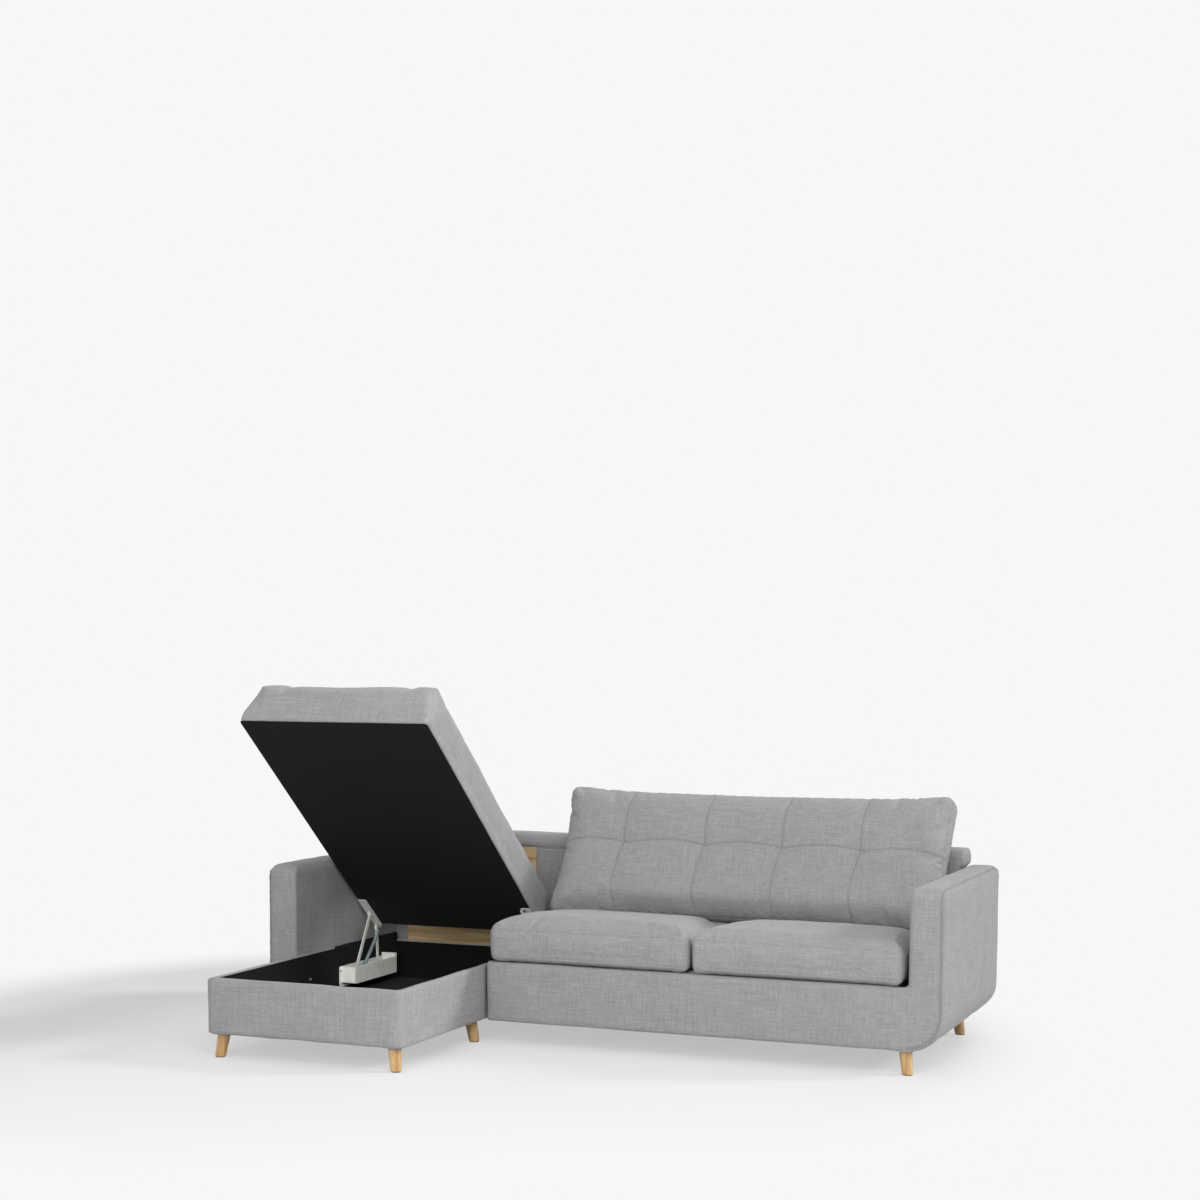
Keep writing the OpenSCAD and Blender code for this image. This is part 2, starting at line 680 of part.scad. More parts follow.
// The seat cushions reach over the side panel and stand a little off the arm
seat_puff = 6;
seat_in_left = 24;
seat_in_right = 12;
seat_lo = well_x0 + seat_in_left + seat_puff;
seat_hi = inner_x - seat_in_right - seat_puff;
seat_w = (seat_hi - seat_lo - seat_gap) / 2;
seat_mid_y = -seat_over + seat_puff + seat_d / 2;
module seat(k) color("#a6a6a6") placed()
    translate([seat_lo + seat_w / 2 + k * (seat_w + seat_gap), seat_mid_y, seat_z + rest_gap])
        cushion([seat_w, seat_d, seat_t], seat_crown, 0, 4, seat_puff, 12, 16, 14);
module seat_cushion_left() seat(0);
module seat_cushion_right() seat(1);

// Place of the lower front edge of the back cushion
back_cushion_foot = 262;
back_cushion_y = back_y - back_cushion_foot;
// The back cushion is flat where it stands on the seat cushions
back_seat_v = (back_cushion_y - 6 - seat_mid_y) / (seat_d / 2);
back_seat_z = seat_z + seat_t + face_rise(0, back_seat_v, seat_crown, 0, [], []) + 2 * rest_gap;
back_w = bed_x1 - bed_x0 - 14;
cols = [for (k = [1:sewn_cols - 1]) 2 * k / sewn_cols - 1];
sewn_row = 1 / 7;
module back_cushion() color("#a1a1a1") placed() difference() {
    translate([bed_mid, back_cushion_y, back_seat_z - 6]) rotate([90 - back_cushion_lean, 0, 0])
        translate([0, back_cushion_h / 2, -back_cushion_t])
            cushion([back_w, back_cushion_h, back_cushion_t], back_cushion_crown, 8, 6, 8, 22,
                6 * sewn_cols, 14, channel_depth, cols, [sewn_row]);
    block([bed_x0, back_cushion_y - back_cushion_t, back_seat_z - back_cushion_t],
        [bed_x1, back_y + back_cushion_t, back_seat_z]);
}

// Bed: fixed brackets and swing arms. side = -1 at the side panel, 1 at the arm

function wall_layer(side, depth) = side < 0 ? bed_x0 + depth : bed_x1 - depth;
module wall_slab(side, d0, d1) {
    slab_x(min(wall_layer(side, d0), wall_layer(side, d1)), max(wall_layer(side, d0), wall_layer(side, d1)))
        children();
}
module wall_rod(side, d0, d1, p, d) {
    rod_x(min(wall_layer(side, d0), wall_layer(side, d1)),
        max(wall_layer(side, d0), wall_layer(side, d1)), p, d);
}
swing_depth = plate_t + 3;
swing_bases = [[front_swing_y - swing_run, swing_base_z], [rear_swing_y - swing_run, swing_base_z]];
swing_ends = [[front_swing_y, swing_end_z], [rear_swing_y, swing_end_z]];
bracket_front = 30;
bracket_rear = 60;
bracket_low = 30;
bracket_high = 26;
module bed_bracket(side) {
    wall_slab(side, rest_gap, plate_t) difference() {
        soft_rect([swing_bases[0][0] - bracket_front, swing_base_z - bracket_low],
            [swing_bases[1][0] + bracket_rear, swing_base_z + bracket_high], [8, 8, 8, 8]);
        for (y = [swing_bases[0][0] + bracket_rear, swing_bases[1][0] - bracket_rear,
                swing_bases[1][0] + bracket_rear - 20])
            translate([y, swing_base_z]) circle(d = 7);
    }
    for (p = swing_bases) {
        wall_rod(side, plate_t - 1, swing_depth - 0.3, p, pin_d + 8);
        wall_rod(side, plate_t - 1, swing_depth + swing_t + 2, p, pin_d - 2 * pin_gap);
    }
}
module bed_bracket_left() color("#3a3d40") placed() bed_bracket(-1);
module bed_bracket_right() color("#3a3d40") placed() bed_bracket(1);
module swing_arms(k) {
    for (side = [-1, 1])
        bar(min(wall_layer(side, swing_depth), wall_layer(side, swing_depth + swing_t)),
            max(wall_layer(side, swing_depth), wall_layer(side, swing_depth + swing_t)),
            swing_bases[k], swing_ends[k], swing_w, pin_d);
}
module front_swing_arms() color("#3a3d40") placed() swing_arms(0);
module rear_swing_arms() color("#3a3d40") placed() swing_arms(1);

// Bed sections. Each frame is four tubes, its hinge plates stand outside the mattress

joint_gap = 0.2;
module tube_frame(z0) {
    for (x = [bed_lo, bed_hi - tube_w])
        block([x, fold_y + 4, z0], [x + tube_w, turn_y - 4, z0 + tube_h]);
    for (y = [fold_y + 4, turn_y - 4 - tube_w])
        block([bed_lo + tube_w + joint_gap, y, z0], [bed_hi - tube_w - joint_gap, y + tube_w, z0 + tube_h]);
}
module slats(z0) {
    pitch = (section_l - 8 - 2 * tube_w - 12 - slat_w) / (slat_n - 1);
    for (k = [0:slat_n - 1])
        block([bed_lo + tube_w + joint_gap, fold_y + 4 + tube_w + 6 + k * pitch, z0],
            [bed_hi - tube_w - joint_gap, fold_y + 4 + tube_w + 6 + k * pitch + slat_w, z0 + slat_t]);
}
module mattress(z0) {
    slab_z(z0, z0 + mattress_t)
        soft_rect([bed_lo + 2, fold_y + 2], [bed_hi - 2, turn_y - 2], [1, 1, 1, 1] * 12);
}
hinge_eye = 20;
hinge_l = 38;
frame_end = 4;
// Outside faces of the frame: inner plates lie on the tubes, outer plates clear them
out_inner = joint_gap;
out_outer = plate_t + 0.7;
function edge_x(side, out) = side < 0 ? bed_lo - out : bed_hi + out;
module edge_slab(side, o0, o1) {
    slab_x(min(edge_x(side, o0), edge_x(side, o1)), max(edge_x(side, o0), edge_x(side, o1))) children();
}
module edge_rod(side, o0, o1, p, d) {
    rod_x(min(edge_x(side, o0), edge_x(side, o1)), max(edge_x(side, o0), edge_x(side, o1)), p, d);
}
// Distance from the frame's outer face to the wall of the well
frame_gap = bed_lo - bed_x0;
module head_frame() color("#3a3d40") placed() {
    difference() {
        union() {
            tube_frame(head_z);
            for (side = [-1, 1]) {
                edge_slab(side, out_inner, plate_t) {
                    translate([fold_y + frame_end, head_z + 2]) square([hinge_l, fold_z - head_z + 6]);
                    translate([fold_y, fold_z]) circle(d = hinge_eye);
                }
                edge_slab(side, -1, plate_t) translate([fold_y + 14, head_z + 3]) square([24, tube_h - 6]);
                for (p = swing_ends)
                    edge_rod(side, -1, frame_gap - swing_depth - swing_t - 0.4, p, pin_d + 8);
            }
        }
        for (side = [-1, 1])
            edge_rod(side, -3, plate_t + 1, [fold_y, fold_z], pin_d);
    }
    for (side = [-1, 1])
        for (p = swing_ends)
            edge_rod(side, frame_gap - swing_depth - swing_t - 2, frame_gap - swing_depth + 1.5,
                p, pin_d - 2 * pin_gap);
}
module head_slats() color("#c8ae84") placed() slats(head_top - slat_t);
module head_mattress() color("#e6e3da") placed() mattress(head_top + rest_gap);
module middle_frame() color("#3a3d40") placed() {
    tube_frame(mid_low);
    for (side = [-1, 1]) {
        edge_slab(side, out_outer, out_outer + plate_t) {
            translate([fold_y + frame_end, fold_z - 8]) square([hinge_l, mid_low + tube_h - fold_z + 6]);
            translate([fold_y, fold_z]) circle(d = hinge_eye);
            translate([turn_y - frame_end - hinge_l, mid_low + 2]) square([hinge_l, turn_z - mid_low + 6]);
            translate([turn_y, turn_z]) circle(d = hinge_eye);
        }
        for (y = [fold_y + 14, turn_y - 38])
            edge_slab(side, -1, out_outer + 1) translate([y, mid_low + 3]) square([24, tube_h - 6]);
        for (p = [[fold_y, fold_z], [turn_y, turn_z]])
            edge_rod(side, out_inner, out_outer + 1, p, pin_d - 2 * pin_gap);
        edge_rod(side, -middle_leg_out - leg_pin_over, -tube_w + 1, middle_leg_hinge, pin_d - 2 * pin_gap);
    }
}
module middle_slats() color("#c8ae84") placed() slats(mid_low);
module middle_mattress() color("#e6e3da") placed() mattress(fold_z + rest_gap);
module foot_frame() color("#3a3d40") placed() {
    difference() {
        union() {
            tube_frame(foot_low);
            for (side = [-1, 1])
            {
                edge_slab(side, out_inner, plate_t) {
                    translate([turn_y - frame_end - hinge_l, foot_low + 1]) 
                        square([frame_end + hinge_l, tube_h - 3]);
                    translate([turn_y, turn_z]) circle(d = hinge_eye);
                    translate([turn_y - hinge_eye / 2, turn_z]) square([hinge_eye, tube_h / 2]);
                }
                edge_slab(side, -1, plate_t) translate([turn_y - 38, foot_low + 3]) square([24, tube_h - 6]);
            }
        }
        for (side = [-1, 1])
            edge_rod(side, -3, plate_t + 1, [turn_y, turn_z], pin_d);
    }
    for (side = [-1, 1])
        edge_rod(side, -foot_leg_out - leg_pin_over, -tube_w + 1, foot_leg_hinge, pin_d - 2 * pin_gap);
}
module foot_slats() color("#c8ae84") placed() slats(foot_top - slat_t);
module foot_mattress() color("#e6e3da") placed() mattress(foot_top + rest_gap);

// Folding legs lie in the plane of their frame, out = offset from the frame's outer face
leg_cap_l = 14;
leg_pin_over = 11;
module folding_leg(side, out, hinge, sgn) {
    x = edge_x(side, -out);
    difference() {
        union() {
            translate([x, hinge[0], hinge[1]]) rotate([sgn > 0 ? -90 : 90, 0, 0])
                cylinder(h = leg_l - leg_cap_l, d = bed_leg_d);
            rod_x(x - 7, x + 7, hinge, bed_leg_d);
        }
        rod_x(x - 9, x + 9, hinge, pin_d);
    }
}
module leg_cap(side, out, hinge, sgn) {
    translate([edge_x(side, -out), hinge[0] + sgn * (leg_l - leg_cap_l + rest_gap), hinge[1]])
        rotate([sgn > 0 ? -90 : 90, 0, 0]) cylinder(h = leg_cap_l - rest_gap, d = bed_leg_d);
}
middle_leg_out = tube_w + 11;
foot_leg_out = tube_w + 36;
middle_leg_hinge = [turn_y - leg_setback, mid_low + tube_h - leg_axis];
foot_leg_hinge = [fold_y + leg_setback, foot_low + leg_axis];
module middle_legs() color("#3a3d40") placed()
    for (side = [-1, 1]) folding_leg(side, middle_leg_out, middle_leg_hinge, -1);
module leg_caps_middle() color("#151515") placed()
    for (side = [-1, 1]) leg_cap(side, middle_leg_out, middle_leg_hinge, -1);
module foot_legs() color("#3a3d40") placed()
    for (side = [-1, 1]) folding_leg(side, foot_leg_out, foot_leg_hinge, 1);
module leg_caps_foot() color("#151515") placed()
    for (side = [-1, 1]) leg_cap(side, foot_leg_out, foot_leg_hinge, 1);
pull_bar_l = 0.32 * (bed_hi - bed_lo);
pull_arm_in = 15;
module pull_bar() color("#3a3d40") placed() {
    for (x = [bed_mid - pull_bar_l / 2 + pull_arm_in, bed_mid + pull_bar_l / 2 - pull_arm_in])
        block([x - 10, fold_y - 22, foot_low + 5], [x + 10, fold_y + 4 - joint_gap, foot_low + 11]);
    rod_x(bed_mid - pull_bar_l / 2, bed_mid + pull_bar_l / 2, [fold_y - 26, foot_low + 8], 12);
}

left_arm();
right_arm();
front_rail();
back_frame();
back_board();
side_panel();
rear_rail();
sofa_dust_cover();
chaise_shell();
chaise_lining();
chaise_floor();
wall_stud();
foot_at(0);  // foot_chaise_front_left
foot_at(1);  // foot_chaise_front_right
foot_at(2);  // foot_chaise_middle_left
foot_at(3);  // foot_chaise_middle_right
foot_at(4);  // foot_sofa_front_right
foot_at(5);  // foot_sofa_back_right
foot_at(6);  // foot_sofa_back_middle
foot_at(7);  // foot_sofa_back_left
foot_plates();
lift_channel_left();
lift_channel_right();
lift_screws();
lift_base_pins();
front_links();
rear_links();
strut_tubes();
strut_rods();
lid_board();
lid_lining();
lid_pad();
lid_bracket_left();
lid_bracket_right();
lid_screws();
seat_cushion_left();
seat_cushion_right();
back_cushion();
bed_bracket_left();
bed_bracket_right();
front_swing_arms();
rear_swing_arms();
head_frame();
head_slats();
head_mattress();
middle_frame();
middle_slats();
middle_mattress();
foot_frame();
foot_slats();
foot_mattress();
middle_legs();
foot_legs();
leg_caps_middle();
leg_caps_foot();
pull_bar();
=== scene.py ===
import json
import math

import bmesh
import bpy
import numpy as np
from mathutils import Matrix, Vector

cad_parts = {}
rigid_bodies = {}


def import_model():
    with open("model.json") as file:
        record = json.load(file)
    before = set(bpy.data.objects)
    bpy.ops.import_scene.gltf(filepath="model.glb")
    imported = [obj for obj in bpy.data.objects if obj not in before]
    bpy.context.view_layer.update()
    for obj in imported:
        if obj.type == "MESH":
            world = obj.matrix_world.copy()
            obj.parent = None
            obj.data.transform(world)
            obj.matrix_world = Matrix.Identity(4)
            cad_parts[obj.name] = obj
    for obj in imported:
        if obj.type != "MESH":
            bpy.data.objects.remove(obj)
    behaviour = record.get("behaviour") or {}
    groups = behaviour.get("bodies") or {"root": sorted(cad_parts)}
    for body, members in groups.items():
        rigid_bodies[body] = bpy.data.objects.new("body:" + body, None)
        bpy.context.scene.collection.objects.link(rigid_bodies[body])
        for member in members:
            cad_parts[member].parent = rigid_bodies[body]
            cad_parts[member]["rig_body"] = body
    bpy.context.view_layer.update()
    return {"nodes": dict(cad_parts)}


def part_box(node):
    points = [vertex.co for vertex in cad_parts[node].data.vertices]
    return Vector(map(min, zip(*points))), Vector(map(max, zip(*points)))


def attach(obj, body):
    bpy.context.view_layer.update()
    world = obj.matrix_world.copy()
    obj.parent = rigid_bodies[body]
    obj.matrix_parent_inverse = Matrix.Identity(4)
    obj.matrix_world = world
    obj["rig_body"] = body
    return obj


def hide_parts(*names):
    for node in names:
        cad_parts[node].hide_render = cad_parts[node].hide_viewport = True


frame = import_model()
NODES = frame["nodes"]
scene = bpy.context.scene

# Places and sizes taken from the solids, in metres
arm_lo, arm_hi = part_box("right_arm")
box_lo, box_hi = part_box("chaise_shell")
back_lo, back_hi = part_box("back_frame")
rest_lo, rest_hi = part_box("back_cushion")
HALF_W, INNER_X = arm_hi.x, arm_lo.x
FLOOR_GAP = arm_lo.z
FRONT_Y, BACK_Y = arm_lo.y, arm_hi.y
BACK_FACE = BACK_Y - (back_hi.y - back_lo.y)
BOX_MID = (box_lo.x + box_hi.x) / 2
# Sizes repeated from the part's source: arms, box walls, lid, back cushion
CORNER_R = 0.118
WALL_T, WALL_BACK = 0.030, 0.018
LID_W, LID_L, LID_T = 0.716, 1.252, 0.172
LID_Z, LID_Y0 = 0.2714, box_lo.y
BACK_W, BACK_T = 1.4377, 0.128
BACK_LEAN = math.radians(23)
# The lid stands open about its pole (y, z)
LID_TILT = math.radians(39.7)
LID_POLE = (LID_Y0 + LID_L + 0.018, LID_Z + 0.132)

# Stands for a distance too far from any seam, or for no limit
FAR = 1.0
NO_LIMIT = 9.0
# Roundings of a limit, and the closer one for faces that lie on something
KNEE, TIGHT_KNEE = 0.004, 0.003


# Small tools for meshes

def link(name, mesh):
    obj = bpy.data.objects.new(name, mesh)
    scene.collection.objects.link(obj)
    return obj


def mesh_from(name, verts, faces):
    mesh = bpy.data.meshes.new(name)
    mesh.from_pydata([tuple(map(float, v)) for v in verts], [], [tuple(map(int, f)) for f in faces])
    mesh.update()
    return link(name, mesh)


def copy_of(name, *nodes):
    """One mesh with the forms of these CAD nodes."""
    bm = bmesh.new()
    for node in nodes:
        bm.from_mesh(NODES[node].data)
    mesh = bpy.data.meshes.new(name)
    bm.to_mesh(mesh)
    bm.free()
    mesh.materials.clear()
    return link(name, mesh)


def read(collection, field):
    """A vector field of a mesh's points as rows of three."""
    values = np.zeros(len(collection) * 3, np.float32)
    collection.foreach_get(field, values)
    return values.reshape(-1, 3).astype(float)


def points(obj):
    return read(obj.data.vertices, "co")


def normals(obj):
    return read(obj.data.vertex_normals, "vector")


def put(obj, co):
    obj.data.vertices.foreach_set("co", np.asarray(co, np.float32).ravel())
    obj.data.update()


def keep_modifiers(obj):
    """The evaluated mesh becomes the object's own mesh."""
    dg = bpy.context.evaluated_depsgraph_get()
    mesh = bpy.data.meshes.new_from_object(obj.evaluated_get(dg))
    obj.modifiers.clear()
    obj.data = mesh


def remesh(obj, voxel, smooth):
    mod = obj.modifiers.new("voxels", "REMESH")
    mod.mode = "VOXEL"
    mod.voxel_size = voxel
    mod = obj.modifiers.new("even", "SMOOTH")
    mod.factor = 0.5
    mod.iterations = smooth
    keep_modifiers(obj)


def subdivide(obj):
    mod = obj.modifiers.new("fine", "SUBSURF")
    mod.levels = 1
    mod.render_levels = 1
    keep_modifiers(obj)


def subdivide_with(obj, rest):
    """Subdivides the mesh, and the unshaped positions with it."""
    att = obj.data.attributes.new("rest", "FLOAT_VECTOR", "POINT")
    att.data.foreach_set("vector", np.asarray(rest, np.float32).ravel())
    subdivide(obj)
    att = obj.data.attributes["rest"]
    out = read(att.data, "vector")
    obj.data.attributes.remove(att)
    return out


def smooth_shade(obj):
    obj.data.polygons.foreach_set("use_smooth", [True] * len(obj.data.polygons))
    obj.data.update()


def ripple(co, wave, seed):
    """Smooth seeded waves of about that length, between -1 and 1."""
    rng = np.random.default_rng(seed)
    total = np.zeros(len(co))
    for _ in range(9):
        k = rng.normal(size=3)
        k = k / np.linalg.norm(k) * (2 * math.pi / wave) * rng.uniform(0.6, 1.5)
        total += np.sin(co @ k + rng.uniform(0, 2 * math.pi))
    return total / 4.5


def eased(x):
    """Smooth step of a share between 0 and 1."""
    return x * x * (3 - 2 * x)


def soft_limit(x, lo, hi, knee=KNEE):
    """Values past lo or hi are bent back to the limit, with a rounded knee."""
    x = np.where(x > hi - knee, hi - knee * np.exp(-np.maximum(x - hi + knee, 0) / knee), x)
    return np.where(x < lo + knee, lo + knee * np.exp(-np.maximum(lo + knee - x, 0) / knee), x)


def loop(w, d, r, draw):
    """Rounded rectangle about the origin whose sides are drawn in between its corners."""
    corner, side = 7, 22
    pts = []
    for cx, cy, a0 in ((1, 1, 0), (-1, 1, 90), (-1, -1, 180), (1, -1, 270)):
        for k in range(corner + 1):
            a = math.radians(a0 + 90 * k / corner)
            pts.append((cx * (w / 2 - r) + r * math.cos(a), cy * (d / 2 - r) + r * math.sin(a)))
        nx, ny = pts[-1]
        ex, ey = {0: (-nx, ny), 90: (nx, -ny), 180: (-nx, ny), 270: (nx, -ny)}[a0]
        for k in range(1, side):
            t = k / side
            pts.append((nx + (ex - nx) * t, ny + (ey - ny) * t))
    out = []
    for x, y in pts:
        u, v = x / (w / 2), y / (d / 2)
        out.append((x - math.copysign(draw, x) * abs(u) ** 3 * max(0, 1 - v * v),
                    y - math.copysign(draw, y) * abs(v) ** 3 * max(0, 1 - u * u)))
    return out


def strips(first, n, rows):
    """Faces between closed rows of n points each, the first point being number first."""
    faces = []
    for j in range(rows - 1):
        for k in range(n):
            a, b = first + j * n + k, first + j * n + (k + 1) % n
            faces.append((a, b, b + n, a + n))
    return faces


def pad_mesh(name, w, d, t, r, edge, draw=0.0, low=None):
    """Rounded pad about the origin in plan, from z = 0 to t; low is the radius of its lower edge."""
    low = edge if low is None else low
    steps = 6
    turns = [math.pi / 2 * k / steps for k in range(steps + 1)]
    rows = [(low * (1 - math.sin(a)), low * (1 - math.cos(a))) for a in turns]
    rows += [(0, t * 0.35), (0, t * 0.65)]
    rows += [(edge * (1 - math.cos(a)), t - edge + edge * math.sin(a)) for a in turns]
    verts = []
    for inset, z in rows:
        ring = loop(w - 2 * inset, d - 2 * inset, max(r - inset, 0.002), draw)
        verts += [(x, y, z) for x, y in ring]
    n = len(verts) // len(rows)
    faces = strips(0, n, len(rows))
    verts += [(0, 0, rows[0][1]), (0, 0, rows[-1][1])]
    bottom, top = len(verts) - 2, len(verts) - 1
    last = (len(rows) - 1) * n
    for i in range(n):
        faces.append((bottom, (i + 1) % n, i))
        faces.append((top, last + i, last + (i + 1) % n))
    return mesh_from(name, verts, faces)


# Cloth that is blown up a little
CLOTH = {"quality": 4, "mass": 0.3, "tension_stiffness": 12, "compression_stiffness": 12,
         "bending_stiffness": 0.6, "use_pressure": True, "uniform_pressure_force": 4.0}
CLOTH_FRAMES = 16


def simulated(obj):
    """The points of the object after the cloth's frames."""
    mod = obj.modifiers.new("cloth", "CLOTH")
    for key, value in CLOTH.items():
        setattr(mod.settings, key, value)
    mod.settings.effector_weights.gravity = 0
    mod.collision_settings.use_collision = False
    mod.point_cache.frame_start = 1
    mod.point_cache.frame_end = CLOTH_FRAMES
    for f in range(1, CLOTH_FRAMES + 1):
        scene.frame_set(f)
    dg = bpy.context.evaluated_depsgraph_get()
    co = read(obj.evaluated_get(dg).data.vertices, "co")
    obj.modifiers.remove(mod)
    scene.frame_set(1)
    return co


def swell(obj, cap, root=0.03):
    """Cloth blown up a little by pressure; no point moves further than cap.

    The outline keeps its width, and the lowest points, up to root, stay or move less.
    """
    rest = points(obj)
    move = simulated(obj) - rest
    move -= move.mean(0)
    far = np.linalg.norm(move, axis=1)
    move *= (cap * np.tanh(far / cap) / np.maximum(far, 1e-9))[:, None]
    low = np.clip(rest[:, 2] / root, 0, 1)
    for k in (0, 1):
        edge = np.abs(rest[:, k]) > 0.97 * np.abs(rest[:, k]).max()
        drawn = np.abs((rest + move)[edge, k]).mean() / np.abs(rest[edge, k]).mean()
        move[:, k] += (rest + move)[:, k] * max(1 / drawn - 1, 0)
        move[:, k] *= eased(low)
    put(obj, rest + move)


def paint_seam_shade(obj, values):
    """Keeps how much painted shade darkens the cloth at each point, in its seams and creases, for the
    materials.
    """
    att = obj.data.attributes.get("seam") or obj.data.attributes.new("seam", "FLOAT", "POINT")
    att.data.foreach_set("value", np.asarray(values, np.float32))


def stitched(obj, dist, width=0.0045, depth=0.0028, pucker=0.0012, seed=1):
    """Draws the fabric in along a seam that lies dist away, with small puckers beside it."""
    reach, pucker_wave = 0.022, 0.028
    co, no = points(obj), normals(obj)
    line = np.exp(-(dist / width) ** 2)
    beside = np.exp(-(dist / reach) ** 2) * (1 - line)
    shift = -depth * line + pucker * beside * ripple(co, pucker_wave, seed)
    put(obj, co + no * shift[:, None])
    return line


# Materials

def srgb(hexa):
    v = [int(hexa[i:i + 2], 16) / 255 for i in (1, 3, 5)]
    return [c / 12.92 if c <= 0.04045 else ((c + 0.055) / 1.055) ** 2.4 for c in v] + [1.0]


class Shader:
    """A material's node tree with short calls."""

    def __init__(self, name, rough, metallic=0.0, sheen=0.0):
        self.mat = bpy.data.materials.new(name)
        self.mat.use_nodes = True
        self.tree = self.mat.node_tree
        self.bsdf = self.tree.nodes["Principled BSDF"]
        self.bsdf.inputs["Roughness"].default_value = rough
        self.bsdf.inputs["Metallic"].default_value = metallic
        self.bsdf.inputs["Sheen Weight"].default_value = sheen
        self.bsdf.inputs["Sheen Roughness"].default_value = 0.6
        self.coord = self.tree.nodes.new("ShaderNodeTexCoord")

    def wire(self, a, b):
        self.tree.links.new(a, b)

    def math(self, op, a, b=None, c=None):
        node = self.tree.nodes.new("ShaderNodeMath")
        node.operation = op
        for k, v in enumerate((a, b, c)):
            if v is None:
                continue
            if isinstance(v, (int, float)):
                node.inputs[k].default_value = v
            else:
                self.wire(v, node.inputs[k])
        return node.outputs[0]

    def noise(self, scale, stretch=(1, 1, 1), detail=2.0, rough=0.5):
        mapping = self.tree.nodes.new("ShaderNodeMapping")
        mapping.inputs["Scale"].default_value = stretch
        self.wire(self.coord.outputs["Object"], mapping.inputs["Vector"])
        node = self.tree.nodes.new("ShaderNodeTexNoise")
        node.inputs["Scale"].default_value = scale
        node.inputs["Detail"].default_value = detail
        node.inputs["Roughness"].default_value = rough
        self.wire(mapping.outputs[0], node.inputs["Vector"])
        return node.outputs["Fac"]

    def grain(self, across, along, axis, detail, rough):
        """Noise drawn out along one axis."""
        stretch = [across] * 3
        stretch[axis] = along
        return self.noise(1.0, stretch, detail, rough)

    def ramp(self, value, lo, hi, out_lo=0.0, out_hi=1.0):
        node = self.tree.nodes.new("ShaderNodeMapRange")
        node.inputs["From Min"].default_value = lo
        node.inputs["From Max"].default_value = hi
        node.inputs["To Min"].default_value = out_lo
        node.inputs["To Max"].default_value = out_hi
        self.wire(value, node.inputs["Value"])
        return node.outputs[0]

    def mix(self, fac, a, b):
        node = self.tree.nodes.new("ShaderNodeMix")
        node.data_type = "RGBA"
        self.wire(fac, node.inputs["Factor"])
        for socket, value in ((node.inputs["A"], a), (node.inputs["B"], b)):
            if isinstance(value, list):
                socket.default_value = value
            else:
                self.wire(value, socket)
        return node.outputs["Result"]

    def facing(self):
        """One minus the square of each part of the object's own normal."""
        split = self.tree.nodes.new("ShaderNodeSeparateXYZ")
        self.wire(self.coord.outputs["Normal"], split.inputs[0])
        return [self.math("SUBTRACT", 1.0, self.math("MULTIPLY", split.outputs[k], split.outputs[k]))
                for k in range(3)]

    def attribute(self, name):
        node = self.tree.nodes.new("ShaderNodeAttribute")
        node.attribute_name = name
        return node.outputs["Fac"]

    def color(self, value):
        self.wire(value, self.bsdf.inputs["Base Color"])

    def bump(self, height, strength, distance):
        node = self.tree.nodes.new("ShaderNodeBump")
        node.inputs["Strength"].default_value = strength
        node.inputs["Distance"].default_value = distance
        self.wire(height, node.inputs["Height"])
        self.wire(node.outputs[0], self.bsdf.inputs["Normal"])


def linen(name, seam_shade, dark, light):
    """Two-tone slub weave: threads along each axis show on the faces that hold that axis."""
    s = Shader(name, 0.92, sheen=0.12)
    face = s.facing()
    threads, weave = None, None
    for k in range(3):
        slub = s.ramp(s.grain(260.0, 14.0, k, 2.0, 0.6), 0.32, 0.68, -1, 1)
        yarn = s.ramp(s.grain(900.0, 90.0, k, 1.0, 0.5), 0.3, 0.7, -1, 1)
        a = s.math("MULTIPLY", slub, face[k])
        b = s.math("MULTIPLY", yarn, face[k])
        threads = a if threads is None else s.math("ADD", threads, a)
        weave = b if weave is None else s.math("ADD", weave, b)
    patch = s.ramp(s.noise(9.0, detail=3.0), 0.35, 0.65, -0.05, 0.05)
    level = s.math("ADD", s.math("MULTIPLY_ADD", threads, 0.20, 0.5), s.math("MULTIPLY", weave, 0.16))
    level = s.math("ADD", level, patch)
    body = s.mix(s.ramp(level, 0.0, 1.0), dark, light)
    # Painted shade: along seams and creases the cloth darkens up to halfway toward the given shade colour
    s.color(s.mix(s.math("MULTIPLY", s.attribute("seam"), 0.5), body, seam_shade))
    height = s.math("ADD", s.math("MULTIPLY", threads, 0.5), s.math("MULTIPLY", weave, 0.5))
    s.bump(height, 0.35, 0.0007)
    return s.mat


def black_cloth(name, dark, light):
    s = Shader(name, 0.95, sheen=0.02)
    s.bsdf.inputs["Specular IOR Level"].default_value = 0.2
    fibre = s.noise(700.0, detail=3.0, rough=0.7)
    fold = s.noise(6.0, detail=2.0)
    s.color(s.mix(s.math("MULTIPLY", fibre, fold), srgb(dark), srgb(light)))
    s.bump(s.math("ADD", fibre, s.math("MULTIPLY", fold, 3.0)), 0.3, 0.0008)
    return s.mat


def wood(name, dark, light, along, rough):
    """Grain that runs along one axis."""
    s = Shader(name, rough)
    rings = s.ramp(s.grain(55.0, 3.0, along, 4.0, 0.6), 0.35, 0.65)
    pores = s.ramp(s.grain(420.0, 12.0, along, 2.0, 0.6), 0.45, 0.62)
    level = s.math("ADD", s.math("MULTIPLY", rings, 0.72), s.math("MULTIPLY", pores, 0.28))
    s.color(s.mix(level, srgb(dark), srgb(light)))
    s.wire(s.ramp(pores, 0, 1, rough + 0.12, rough - 0.05), s.bsdf.inputs["Roughness"])
    s.bump(level, 0.25, 0.0004)
    return s.mat


